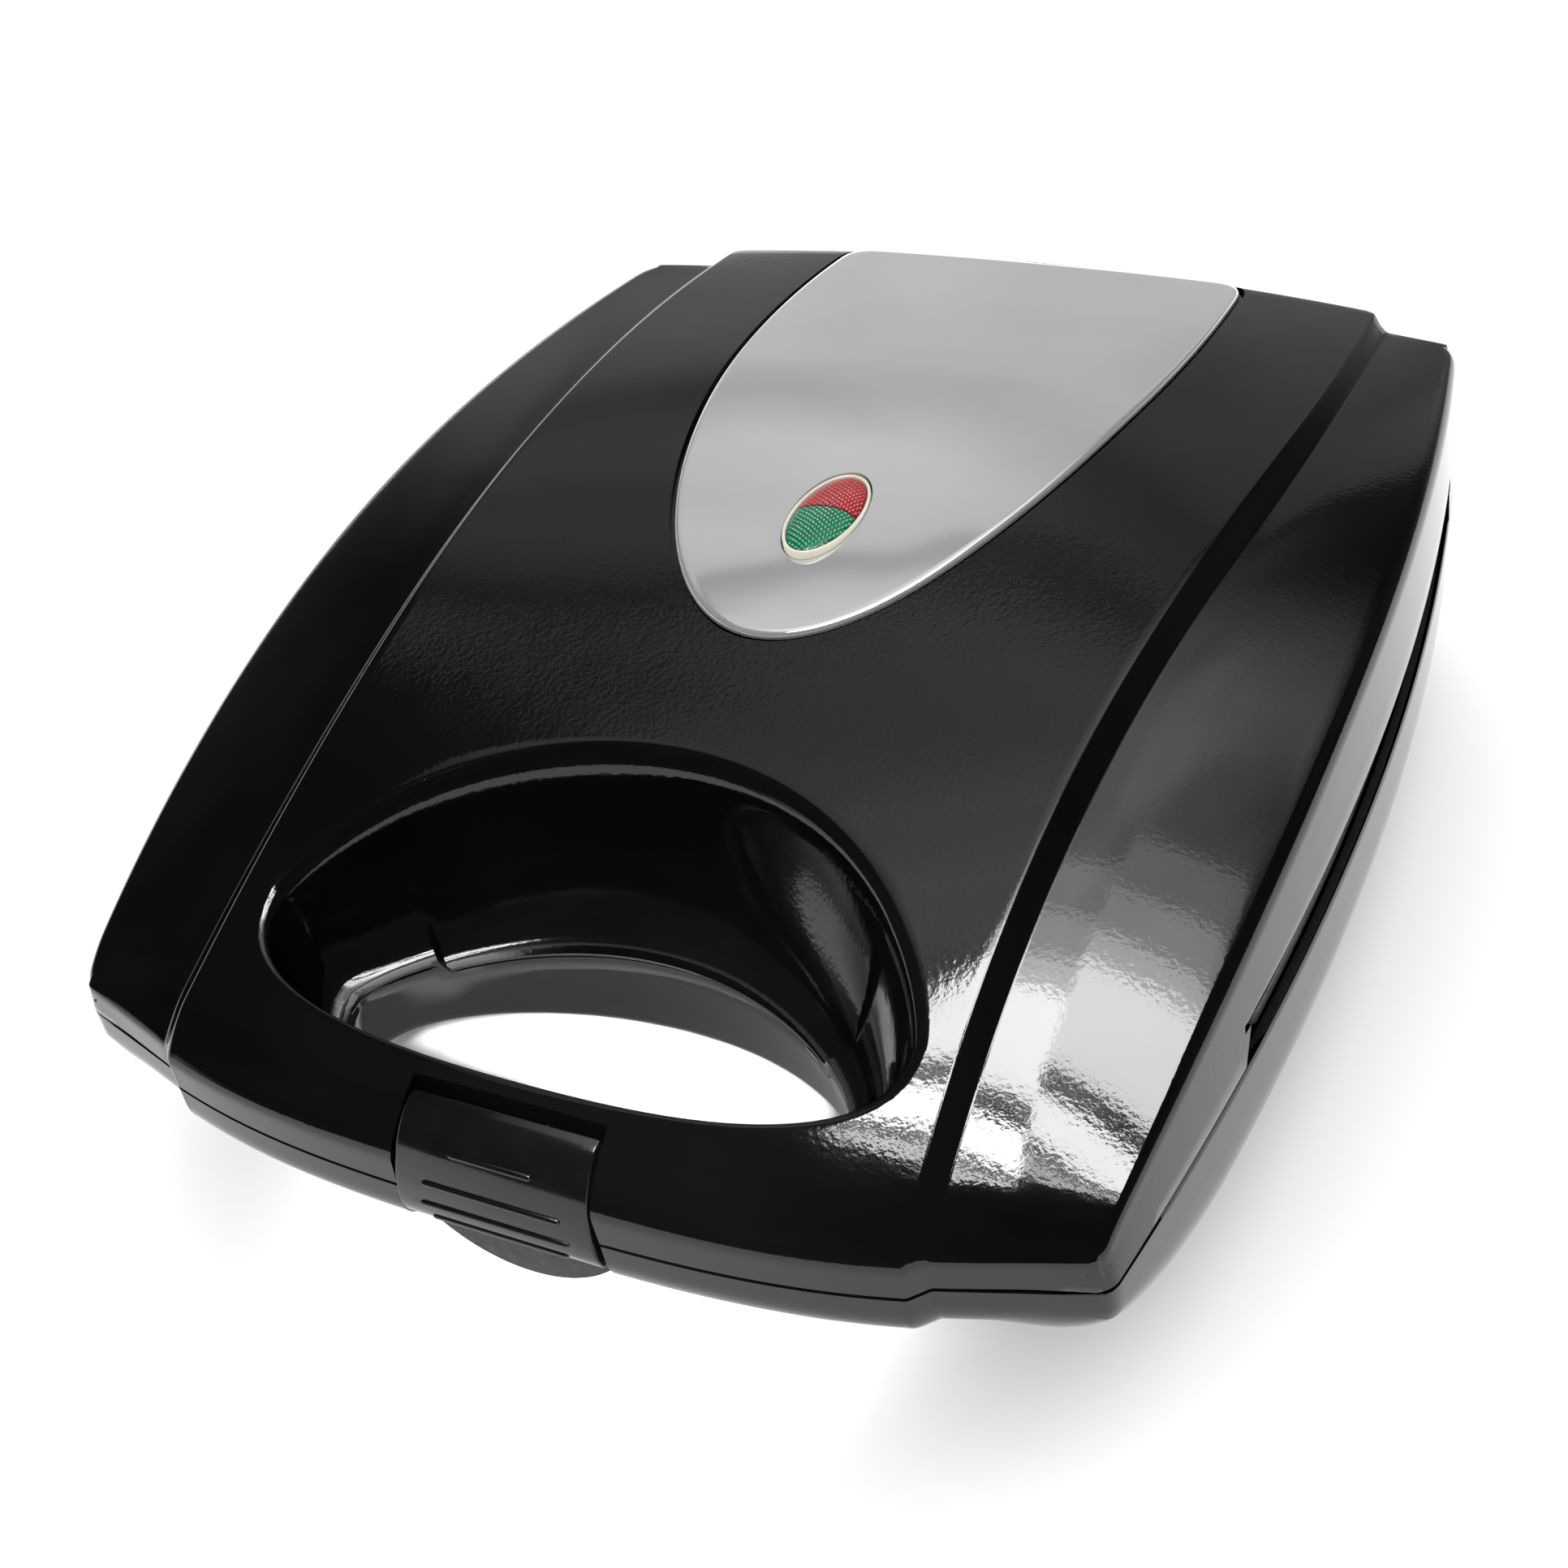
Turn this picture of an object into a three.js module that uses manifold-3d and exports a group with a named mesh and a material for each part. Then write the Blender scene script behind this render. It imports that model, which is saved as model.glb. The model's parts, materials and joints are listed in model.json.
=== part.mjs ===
// Donut maker: a clamshell with two ring-mould plates, a finger opening in its handle and a front latch.
// Millimetres, +Z up. Shell coordinates run x from the middle, y back from the front corner of the
// ridge and z up from the parting plane; the outer group moves them to the middle of the footprint.
import * as THREE from 'three';
import { mergeVertices } from 'three/addons/utils/BufferGeometryUtils.js';
import Module from 'manifold-3d';

const wasm = await Module();
wasm.setup();

// ---- Driving dimensions ----
const PARTING_HEIGHT = 46;        // parting plane above the table
const FRONT_CORNER_Y = -134.2;    // the ridge's front corner, from the middle of the footprint
const WALL = 2.5;
const GAP = 0.4;                  // between neighbouring pieces
const SEAM = 0.2;                 // each shell stops this far from the parting plane

const LENGTH = 267.5;             // ridge's front corner to the rear wall, on the centre line
const WIDEST_HALF = 110.5;
const WIDEST_AT = 138;
const DRAFT = 1.3;                // how far the upper side wall leans in towards its top edge
const STEP_WIDTH = 4.6;
const NOSE = { face: 6, radius: 9, reach: 6.3 };
const FRONT_CORNER = { y: 9.6, radius: 7 };
const REAR_CORNER = { y: 256.1, radius: 12 };
const SIDE_EDGE = { drop: 3.4, share: 0.11 };  // rounding between the top and the side wall

const DEPTH = { bar: 13, belly: 40 };          // of the lower shell, at the handle and at the belly
const LOWER_EDGE = { wall: 0.35, sweep: 0.75 };  // upright part and corner sweep, as shares of the depth

const FINGER_RIM = { half: 61.7, middle: 30, back: 43, front: 21.6 };
const FINGER_PARTING = { half: 49, middle: 28, back: 27, front: 21 };
const FINGER_SIDES = 28;
const FUNNEL_POWER = 0.39;        // how quickly the funnel opens above the parting plane

const PANEL = { half: 49.5, length: 134.4, centre: 240, back: 264.3, corner: 6, proud: 0.6, sunk: 0.7 };
const PANEL_MARGIN = 1.2;
const LAMP = { y: 141.3, long: 14.2, wide: 7.4, rim: 1.4, divide: 142 };

const PLATE = { front: 70, back: 240, inset: 4.5, thick: 3.8, contact: 1 };
const RING = { radius: 27, hole: 8, depth: 13, wall: 2.5 };
const RING_ROWS = [115, 195];
const RING_COLUMNS = [-62, 0, 62];
const SCREWS = [[-92, 78], [92, 78], [-92, 230], [92, 230]];
const ELEMENT = { radius: 3.2, height: 19.3 };  // height of its centre line above the plates' contact
const TRAY = { half: 80, front: 79, back: 230, height: 26, sheet: 1, lip: 3 };
const SLOT = { from: 65.5, to: 230, top: 9 };

const HINGE = { y: 271.5, x: 55, barrel: 5, pin: 2, knuckle: 8, ear: 5.4 };
const LATCH = { pivotY: 0.8, pivotZ: 9.5, half: 18, taper: 0.062, top: 15.1, pin: 1.2, side: 0.7 };
const CATCH_RADIUS = 23.5;
const FEET = [['front_left', -72, 114], ['front_right', 72, 114], ['rear_left', -72, 230], ['rear_right', 72, 230]];

// ---- Curves of the shells ----
const clamp = (t) => Math.min(Math.max(t, 0), 1);
const mix = (a, b, t) => a + (b - a) * t;
const quarter = (t) => Math.sqrt(1 - (1 - clamp(t)) ** 2);
function smooth(from, to, value) {
  const t = clamp((value - from) / (to - from));
  return t * t * (3 - 2 * t);
}

const ridgeHalf = (y) => 74 - 5.3 * Math.cos((Math.PI * (y - 45)) / 190);

function ridgeHeight(y) {
  return y < 143 ? 43.1 - 32.5 * ((143 - y) / 143) ** 2.2 : 43.1 - 11.1 * ((y - 143) / 120) ** 1.7;
}

function sideHeight(y) {
  return y < 178 ? 34.6 - 30.4 * ((178 - y) / 178) ** 2.2 : 34.6 - 3.6 * ((y - 178) / 78) ** 1.7;
}

const crown = (y) => 4 - 6.4 * smooth(10, 100, y) + 4.9 * smooth(100, 200, y);
const stepDrop = (y) => 3.4 + 0.5 * smooth(0, 100, y) - 1.2 * smooth(150, 250, y);

function sideHalf(y) {
  const bow = y < WIDEST_AT ? 10.2 * ((y - WIDEST_AT) / 126) ** 2 : 10.5 * ((y - WIDEST_AT) / 116) ** 2;
  const front = FRONT_CORNER.radius * (1 - quarter((y - FRONT_CORNER.y) / FRONT_CORNER.radius));
  const rear = REAR_CORNER.radius * (1 - quarter((REAR_CORNER.y - y) / REAR_CORNER.radius));
  return WIDEST_HALF - bow - front - rear;
}

function frontEdge(x) {
  const out = Math.abs(x);
  const bar = -NOSE.reach * (1 - clamp(out / 70) ** 3);
  return bar + 3.6 * clamp((out - 70) / STEP_WIDTH) + 7.9 * Math.max(0, (out - 74.6) / 25);
}

function backEdge(x) {
  const out = Math.abs(x);
  const band = LENGTH - 4.6 * clamp(out / 77.7) ** 2;
  return band - 4.9 * clamp((out - 77.7) / STEP_WIDTH) - 5 * Math.max(0, (out - 82.3) / 17);
}

// The top surface without its rounded edges: a crowned band, a step down and a falling side panel.
function topHeight(x, y) {
  const out = Math.abs(x);
  const ridge = ridgeHalf(y);
  const foot = ridge + STEP_WIDTH;
  if (out <= ridge) return ridgeHeight(y) + crown(y) * (1 - (out / ridge) ** 2);
  if (out <= foot) return ridgeHeight(y) - (stepDrop(y) * (out - ridge)) / STEP_WIDTH;
  const across = clamp((out - foot) / (sideHalf(y) - foot));
  return mix(ridgeHeight(y) - stepDrop(y), sideHeight(y), across ** 1.5);
}

function upperHeight(x, y, inset = 0) {
  const top = topHeight(x, y) - inset;
  const face = Math.min(top, NOSE.face);
  const nosed = face + (top - face) * quarter((y - frontEdge(x) - inset) / NOSE.radius);
  return nosed - 2.5 * (1 - quarter((backEdge(x) - inset - y) / 2.5));
}

// The lower shell is shallow under the handle and deep beside it and behind it.
function lowerDepth(x, y) {
  const middle = mix(DEPTH.bar, DEPTH.belly, smooth(30, 110, y));
  const beside = mix(DEPTH.bar, DEPTH.belly, Math.sin((clamp((y - 8) / 52) * Math.PI) / 2));
  return mix(middle, beside, smooth(45, 80, Math.abs(x)));
}

function lowerHeight(x, y, inset = 0) {
  const depth = lowerDepth(x, y) - inset;
  const wall = LOWER_EDGE.wall * depth;
  const sweep = LOWER_EDGE.sweep * depth;
  const side = quarter((sideHalf(y) - inset - Math.abs(x)) / sweep);
  const ends = quarter((y - frontEdge(x) - inset) / sweep) * quarter((backEdge(x) - inset - y) / sweep);
  return -(wall + (depth - wall) * side * ends);
}

// ---- Solids ----
function solid(geometry) {
  const bare = geometry.clone();
  bare.deleteAttribute('normal');
  bare.deleteAttribute('uv');
  const merged = mergeVertices(bare, 1e-4);
  const corners = merged.index.array;
  const kept = [];
  for (let i = 0; i < corners.length; i += 3) {
    const [a, b, c] = corners.slice(i, i + 3);
    if (a !== b && b !== c && c !== a) kept.push(a, b, c);
  }
  return new wasm.Manifold(new wasm.Mesh({
    numProp: 3,
    vertProperties: merged.attributes.position.array,
    triVerts: new Uint32Array(kept),
  }));
}

function geometryOf(shape) {
  const data = shape.getMesh();
  const geometry = new THREE.BufferGeometry();
  geometry.setAttribute('position', new THREE.BufferAttribute(new Float32Array(data.vertProperties), 3));
  geometry.setIndex(new THREE.BufferAttribute(new Uint32Array(data.triVerts), 1));
  geometry.computeVertexNormals();
  return geometry;
}

function indexed(positions, index) {
  const geometry = new THREE.BufferGeometry();
  geometry.setAttribute('position', new THREE.Float32BufferAttribute(positions, 3));
  geometry.setIndex(index);
  return solid(geometry);
}

const joined = (shapes) => shapes.reduce((whole, shape) => whole.add(shape));
const cut = (shape, tools) => tools.reduce((whole, tool) => whole.subtract(tool), shape);

function box([x0, x1], [y0, y1], [z0, z1]) {
  const geometry = new THREE.BoxGeometry(x1 - x0, y1 - y0, z1 - z0);
  return solid(geometry.translate((x0 + x1) / 2, (y0 + y1) / 2, (z0 + z1) / 2));
}

// A round bar along one axis, from one end to the other; centre gives its other two coordinates.
function bar(axis, radius, [from, to], [u, v], sides = 14) {
  const geometry = new THREE.CylinderGeometry(radius, radius, to - from, sides);
  const middle = (from + to) / 2;
  if (axis === 'x') return solid(geometry.rotateZ(Math.PI / 2).translate(middle, u, v));
  if (axis === 'y') return solid(geometry.translate(u, middle, v));
  return solid(geometry.rotateX(Math.PI / 2).translate(u, v, middle));
}

// A turned piece about a vertical axis, from [radius, z] points.
function turned(profile, sides, [x, y]) {
  const points = profile.map(([r, z]) => new THREE.Vector2(r, z));
  return solid(new THREE.LatheGeometry(points, sides).rotateX(Math.PI / 2).translate(x, y, 0));
}

// A closed block between two surfaces over one grid of columns and rows.
function gridBlock({ columns, rows }, upper, lower) {
  const positions = [];
  const index = [];
  const width = columns.length;
  const under = width * rows.length;
  const quad = (a, b, c, d) => index.push(a, b, c, a, c, d);
  for (const surface of [upper, lower])
    for (const row of rows)
      for (const column of columns) positions.push(...surface(column, row));
  for (let r = 0; r + 1 < rows.length; r++) {
    const start = r * width;
    for (let c = start; c + 1 < start + width; c++) {
      quad(c, c + 1, c + width + 1, c + width);
      quad(under + c, under + c + width, under + c + width + 1, under + c + 1);
    }
    const end = start + width - 1;
    quad(under + start + width, under + start, start, start + width);
    quad(under + end, under + end + width, end + width, end);
  }
  for (let c = 0; c + 1 < width; c++) {
    const far = under - width + c;
    quad(under + c, under + c + 1, c + 1, c);
    quad(under + far + 1, under + far, far, far + 1);
  }
  return indexed(positions, index);
}

// A closed solid through rings of points that run counter-clockwise seen from above, lowest ring first.
function loft(rings) {
  const count = rings[0].length;
  const positions = rings.flat(2);
  const index = [];
  const cap = (ring, start, turn) => {
    const centre = positions.length / 3;
    for (const k of [0, 1, 2]) positions.push(ring.reduce((sum, point) => sum + point[k], 0) / count);
    for (let i = 0; i < count; i++) {
      const next = (i + 1) % count;
      index.push(centre, start + (turn ? next : i), start + (turn ? i : next));
    }
  };
  for (let r = 0; r + 1 < rings.length; r++) {
    for (let i = 0; i < count; i++) {
      const a = r * count + i;
      const b = r * count + ((i + 1) % count);
      index.push(a, b, b + count, a, b + count, a + count);
    }
  }
  cap(rings[0], 0, true);
  cap(rings.at(-1), (rings.length - 1) * count, false);
  return indexed(positions, index);
}

function extruded(points, depth) {
  const shape = new THREE.Shape(points.map(([a, b]) => new THREE.Vector2(a, b)));
  return new THREE.ExtrudeGeometry(shape, { depth, bevelEnabled: false });
}

// A tube with a round section along a smooth curve through the given points.
function tube(points, radius, steps, sides) {
  const section = new THREE.Shape();
  section.absarc(0, 0, radius, 0, 2 * Math.PI);
  const outline = new THREE.Shape(section.getPoints(sides).slice(0, sides));
  const path = new THREE.CatmullRomCurve3(points.map((p) => new THREE.Vector3(...p)), false, 'centripetal');
  return solid(new THREE.ExtrudeGeometry(outline, { steps, extrudePath: path, bevelEnabled: false }));
}

// ---- Grids of the shells ----
// Columns run 0 at the middle, 1 on the ridge, 2 at the foot of the step, 3 on the side wall.
// The outside has the finer grid.
const bothSides = (half) => [...half.map((c) => -c).reverse(), 0, ...half];
const OUTSIDE = {
  columns: bothSides([0.5, 1, 2, 2.45, 2.8, 2.91, 2.97, 3]),
  rows: [0, 0.004, 0.012, 0.024, 0.045, 0.08, 0.13, 0.2, 0.28, 0.37, 0.46, 0.56, 0.66, 0.76, 0.86, 0.94, 0.985, 1],
};
const INSIDE = {
  columns: bothSides([0.6, 1, 2, 2.5, 2.9, 3]),
  rows: [0, 0.02, 0.05, 0.12, 0.24, 0.37, 0.51, 0.66, 0.82, 0.93, 1],
};

function acrossShell(column, y, inset) {
  const c = Math.abs(column);
  const ridge = ridgeHalf(y);
  const foot = ridge + STEP_WIDTH;
  let out = ridge * c;
  if (c > 1) out = mix(ridge, foot, c - 1);
  if (c > 2) out = mix(foot, sideHalf(y), c - 2);
  const half = sideHalf(y);
  return (Math.sign(column) * out * (half - inset)) / half;
}

function planPoint(column, row, inset) {
  const along = (x) => mix(frontEdge(x) + inset, backEdge(x) - inset, row);
  let x = acrossShell(column, LENGTH * row, inset);
  x = acrossShell(column, along(x), inset);
  const y = along(x);
  return [acrossShell(column, y, inset), y];
}

// The upper shell's block; the side wall leans in by DRAFT from the parting plane to its top edge.
function upperBlock(grid, inset, floor) {
  const top = (column, row) => {
    const [x, y] = planPoint(column, row, inset + DRAFT * clamp(Math.abs(column) - 2));
    const rim = SIDE_EDGE.drop * (1 - quarter((3 - Math.abs(column)) / SIDE_EDGE.share));
    return [x, y, upperHeight(x, y, inset) - rim];
  };
  return gridBlock(grid, top, (column, row) => [...planPoint(column, row, inset), floor]);
}

function lowerBlock(grid, inset, ceiling) {
  const bottom = (column, row) => {
    const [x, y] = planPoint(column, row, inset);
    return [x, y, lowerHeight(x, y, inset)];
  };
  return gridBlock(grid, (column, row) => [...planPoint(column, row, inset), ceiling], bottom);
}

// ---- Finger opening ----
function fingerPoint(shape, angle, grow) {
  const c = Math.cos(angle);
  const s = Math.sin(angle);
  const reach = s > 0 ? shape.back * s ** 1.5 : -shape.front * (1 - Math.abs(c) ** 2.5) ** 0.4;
  const x = shape.half * c;
  const size = Math.hypot(x, reach);
  return [x * (1 + grow / size), shape.middle + reach * (1 + grow / size)];
}

function fingerRing(share, grow, lift = 0) {
  const ring = [];
  for (let i = 0; i < FINGER_SIDES; i++) {
    const angle = (2 * Math.PI * i) / FINGER_SIDES;
    const low = fingerPoint(FINGER_PARTING, angle, grow);
    const rim = fingerPoint(FINGER_RIM, angle, grow);
    const t = Math.sign(share) * Math.abs(share) ** FUNNEL_POWER;
    const z = share * upperHeight(...fingerPoint(FINGER_RIM, angle, 0));
    ring.push([mix(low[0], rim[0], clamp(t)), mix(low[1], rim[1], clamp(t)), z + lift]);
  }
  return ring;
}

function fingerFunnel(grow) {
  const rings = [0.03, 0.15, 0.5, 1].map((share) => fingerRing(share, grow));
  return loft([fingerRing(0, grow, -1), fingerRing(0, grow), ...rings, fingerRing(1, grow, 15)]);
}

function fingerWell(grow) {
  const ring = (z, flare) => {
    const place = (i) => fingerPoint(FINGER_PARTING, (2 * Math.PI * i) / FINGER_SIDES, grow + flare);
    return Array.from({ length: FINGER_SIDES }, (_, i) => [...place(i), z]);
  };
  return loft([ring(-60, 5), ring(-20, 2), ring(2, 0)]);
}

// ---- Latch, its pocket and its catch ----
const latchHalf = (z) => LATCH.half + LATCH.taper * (LATCH.top - z);

// A tapered block as wide as the latch, grown by a margin on each side.
function latchBlock(margin, [y0, y1], [z0, z1]) {
  const ring = (z) => {
    const half = latchHalf(z) + margin;
    return [[-half, y0, z], [half, y0, z], [half, y1, z], [-half, y1, z]];
  };
  return loft([ring(z0), ring(z1)]);
}

const LATCH_OUTLINE = [
  [3.1, 15.1], [0.6, 14.7], [-2.2, 12.8], [-4.9, 9.2], [-6.7, 4.4], [-7.3, 0], [-7.1, -3.6], [-6.1, -6.3],
  [-3.6, -6.3], [-2.7, -5.4], [-3.4, -4.6], [-4.9, -4.4], [-5.0, 2], [-3.6, 6.2], [3.1, 6.6],
];
const GRIP_RIBS = [[10, 8, -4.3], [3.8, 13.3, -6.7], [-1, 14.4, -7.1], [-4.7, 13.3, -6.5]];

function latch() {
  const wide = latchHalf(0);
  const body = extruded(LATCH_OUTLINE, 2 * wide).rotateX(Math.PI / 2).rotateZ(Math.PI / 2);
  body.translate(-wide, 0, 0);
  const places = body.attributes.position;
  for (let i = 0; i < places.count; i++) {
    places.setX(i, (places.getX(i) * latchHalf(places.getZ(i))) / wide);
  }
  const ribs = GRIP_RIBS.map(([z, half, y]) => box([-half, half], [y - 0.8, y + 1.2], [z - 0.5, z + 0.5]));
  const pivot = [LATCH.pivotY, LATCH.pivotZ];
  const spring = bar('x', 3.1, [-5.5, 5.5], pivot);
  const springWay = box([-5.5, 5.5], [pivot[0], 6], [pivot[1] - 3.1, pivot[1] + 3.1]);
  return cut(joined([solid(body), ...ribs]), [spring, springWay, bar('x', LATCH.pin + GAP, [-30, 30], pivot)]);
}

function latchCatch() {
  const arc = [];
  const reach = Math.asin(17.2 / CATCH_RADIUS);
  for (let i = 0; i <= 12; i++) {
    const angle = mix(-reach, reach, i / 12);
    arc.push([CATCH_RADIUS * Math.sin(angle), 3.5 - CATCH_RADIUS * Math.cos(angle)]);
  }
  const outline = [...arc, [17.2, -1], [-17.2, -1]];
  const plate = solid(extruded(outline, 4.7).rotateX(Math.PI / 2).translate(0, 2.5, 0));
  return plate.subtract(box([-16, 16], [-4, -0.8], [-7.6, -4]));
}

function latchSpring() {
  const turns = 5;
  const points = [];
  for (let i = 0; i <= turns * 8; i++) {
    const angle = (2 * Math.PI * i) / 8;
    const y = LATCH.pivotY + 2.15 * Math.cos(angle);
    points.push([mix(-4.5, 4.5, i / (turns * 8)), y, LATCH.pivotZ + 2.15 * Math.sin(angle)]);
  }
  return tube(points, 0.4, turns * 8, 4);
}

// ---- Shells ----
function hingeBarrels(spans, arm) {
  return [-1, 1].flatMap((side) => spans.map(([from, to]) => {
    const ends = [side * HINGE.x + from, side * HINGE.x + to];
    const barrel = bar('x', HINGE.barrel, ends, [HINGE.y, 0]);
    return barrel.add(box(ends, [263.4, HINGE.y], arm));
  }));
}

const hingeBore = () => bar('x', HINGE.pin + GAP, [-80, 80], [HINGE.y, 0]);
const screwBores = (span) => SCREWS.map((place) => bar('z', 1.6, span, place, 10));
const screwBosses = (span) => SCREWS.map((place) => bar('z', 4.2, span, place, 12));

function upperShell() {
  const room = cut(upperBlock(INSIDE, WALL, -1), [
    fingerFunnel(WALL),
    latchBlock(3.4, [-20, 8.5], [-2, 30]),
    ...screwBosses([PLATE.contact + PLATE.thick + 0.8, 60]),
  ]);
  const slots = [-1, 1].map((side) => box([Math.min(side * 100, side * 120), Math.max(side * 100, side * 120)],
    [SLOT.from, SLOT.to], [-2, SLOT.top]));
  const shell = cut(upperBlock(OUTSIDE, 0, SEAM), [
    room,
    fingerFunnel(0),
    latchBlock(LATCH.side, [-20, 4.8], [-2, 30]),
    bar('x', LATCH.pin + GAP, [-30, 30], [LATCH.pivotY, LATCH.pivotZ]),
    panelBlock(PANEL_MARGIN, -1, 8),
    oval(LAMP.long + GAP, LAMP.wide + GAP, [30, 60]),
    ...slots,
    ...screwBores([0, 17]),
  ]);
  const knuckles = hingeBarrels([[-HINGE.knuckle, HINGE.knuckle]], [0.6, 6]);
  return joined([shell, ...knuckles]).subtract(hingeBore());
}

function lowerShell() {
  const room = cut(lowerBlock(INSIDE, WALL, 1), [
    fingerWell(WALL),
    latchBlock(3.4, [-20, 8.5], [-30, 2]),
    box([-16, 16], [235, 245], [-45, -33.9]),
    ...screwBosses([-60, PLATE.contact - PLATE.thick - 0.8]),
  ]);
  const feet = FEET.map(([, x, y]) => bar('z', 3 + GAP, [-50, -30], [x, y], 12));
  const shell = cut(lowerBlock(OUTSIDE, 0, -SEAM), [
    room,
    fingerWell(0),
    latchBlock(LATCH.side, [-20, 2.9], [-30, 2]),
    bar('y', 6 + GAP, [255, 280], [0, -11], 20),
    ...feet,
    ...screwBores([-15, 0]),
  ]);
  const gap = 0.6;
  const near = [-HINGE.knuckle - gap - HINGE.ear, -HINGE.knuckle - gap];
  const far = [HINGE.knuckle + gap, HINGE.knuckle + gap + HINGE.ear];
  return joined([shell, ...hingeBarrels([near, far], [-9, -1])]).subtract(hingeBore());
}

// ---- Panel and lamp window ----
function panelOutline(margin) {
  const half = PANEL.half + margin;
  const length = PANEL.length + margin;
  const back = PANEL.back + margin;
  const start = Math.asin((back - PANEL.corner - PANEL.centre) / length);
  const corner = half * Math.cos(start);
  const shape = new THREE.Shape();
  shape.absellipse(0, PANEL.centre, half, length, Math.PI - start, 2 * Math.PI + start);
  shape.quadraticCurveTo(corner - 0.6, back, corner - PANEL.corner, back);
  shape.lineTo(PANEL.corner - corner, back);
  shape.quadraticCurveTo(0.6 - corner, back, -corner, back - PANEL.corner);
  return shape.getSpacedPoints(40).slice(0, 40);
}

// A sheet that follows the top surface inside the panel's outline, between two offsets from it.
function panelBlock(margin, below, above) {
  const outline = panelOutline(margin);
  const centre = 200;
  const ring = (scale, offset) => outline.map((point) => {
    const x = point.x * scale;
    const y = centre + (point.y - centre) * scale;
    return [x, y, topHeight(x, Math.min(y, LENGTH)) + offset];
  });
  const scales = [0.05, 0.5, 1];
  const under = scales.map((scale) => ring(scale, below));
  const over = scales.map((scale) => ring(scale, above)).reverse();
  return loft([...under, ...over]);
}

function ovalRing(long, wide, z) {
  return Array.from({ length: 28 }, (_, i) => {
    const angle = (2 * Math.PI * i) / 28;
    return [wide * Math.cos(angle), LAMP.y + long * Math.sin(angle), z];
  });
}

const oval = (long, wide, [z0, z1]) => loft([ovalRing(long, wide, z0), ovalRing(long, wide, z1)]);
const lampTop = topHeight(0, LAMP.y);

function topPanel() {
  return panelBlock(0, -PANEL.sunk, PANEL.proud).subtract(oval(LAMP.long + GAP, LAMP.wide + GAP, [30, 60]));
}

function lensBezel() {
  const ring = oval(LAMP.long, LAMP.wide, [lampTop - 4, lampTop + 1.4]);
  return ring.subtract(oval(LAMP.long - LAMP.rim, LAMP.wide - LAMP.rim, [30, 60]));
}

function lensDome() {
  const long = LAMP.long - LAMP.rim - GAP;
  const wide = LAMP.wide - LAMP.rim - GAP;
  const levels = [[1, -2.5], [1, 1.1], [0.8, 1.8], [0.45, 2.2]];
  return loft(levels.map(([scale, z]) => ovalRing(long * scale, wide * scale, lampTop + z)));
}

const divider = (radius) => bar('z', radius, [30, 60], [0, LAMP.divide - 20], 48);
const redLens = () => lensDome().subtract(divider(20.2));
const greenLens = () => lensDome().intersect(divider(19.8));

function lampHolder() {
  const cup = box([-9, 9], [LAMP.y - 17, LAMP.y + 17], [28.2, 37.4]);
  return cup.subtract(box([-7, 7], [LAMP.y - 15, LAMP.y + 15], [30, 40]));
}

// ---- Plates and what heats them, built face up at the contact plane; the lid's set is turned over ----
function plateOutline(inset) {
  const side = [];
  for (let i = 0; i <= 8; i++) {
    const y = mix(PLATE.front, PLATE.back, i / 8);
    side.push([sideHalf(y) - inset, y]);
  }
  const chamfer = 6;
  side[0] = [side[0][0], PLATE.front + chamfer];
  side[8] = [side[8][0], PLATE.back - chamfer];
  const right = [[side[0][0] - chamfer, PLATE.front], ...side, [side[8][0] - chamfer, PLATE.back]];
  return [...right, ...right.map(([x, y]) => [-x, y]).reverse()];
}

function ringMould(x, y, grow) {
  const middle = (RING.radius + RING.hole) / 2;
  const width = (RING.radius - RING.hole) / 2 + grow;
  const depth = RING.depth + grow;
  const profile = [[middle + width, 1]];
  for (let i = 0; i <= 3; i++) {
    const angle = (Math.PI * i) / 3;
    profile.push([middle + width * Math.cos(angle), -depth * Math.sin(angle)]);
  }
  profile.push([middle - width, 1], [middle + width, 1]);
  return turned(profile.reverse(), 14, [x, y]);
}

function cookingPlate() {
  const places = RING_ROWS.flatMap((y) => RING_COLUMNS.map((x) => [x, y]));
  const slab = solid(extruded(plateOutline(PLATE.inset), PLATE.thick).translate(0, 0, -PLATE.thick));
  const above = box([-120, 120], [60, 250], [0, 5]);
  const backs = places.map(([x, y]) => ringMould(x, y, RING.wall).subtract(above));
  const moulds = places.map(([x, y]) => ringMould(x, y, 0));
  const screwHoles = SCREWS.flatMap((place) => [
    bar('z', 1.8, [-10, 5], place, 10),
    bar('z', 4.3, [-2.2, 5], place, 12),
  ]);
  return cut(joined([slab, ...backs]), [...moulds, ...screwHoles]);
}

function heatingElement() {
  const [front, rear] = RING_ROWS;
  const side = RING_COLUMNS[2];
  const right = [[0, front - 4], [side - 14, front - 3], [side, front + 12], [side, rear - 12], [side - 12, rear],
    [30, rear + 4], [20, rear + 14], [20, rear + 30], [20, rear + 51]];
  const left = right.slice(1).map(([x, y]) => [-x, y]).reverse();
  return tube([...left, ...right].map(([x, y]) => [x, y, -ELEMENT.height]), ELEMENT.radius, 36, 6);
}

function heatTray() {
  const outside = box([-TRAY.half, TRAY.half], [TRAY.front, TRAY.back],
    [-TRAY.height - TRAY.sheet, TRAY.lip - TRAY.height]);
  const inside = box([TRAY.sheet - TRAY.half, TRAY.half - TRAY.sheet],
    [TRAY.front + TRAY.sheet, TRAY.back - TRAY.sheet], [-TRAY.height, 0]);
  return outside.subtract(inside);
}

function panScrew([x, y]) {
  return turned([[0, -0.4], [3, -0.4], [3.8, -1], [3.8, -1.9], [1.3, -1.9], [1.3, -14], [0, -15]].reverse(), 10, [x, y]);
}

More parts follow.
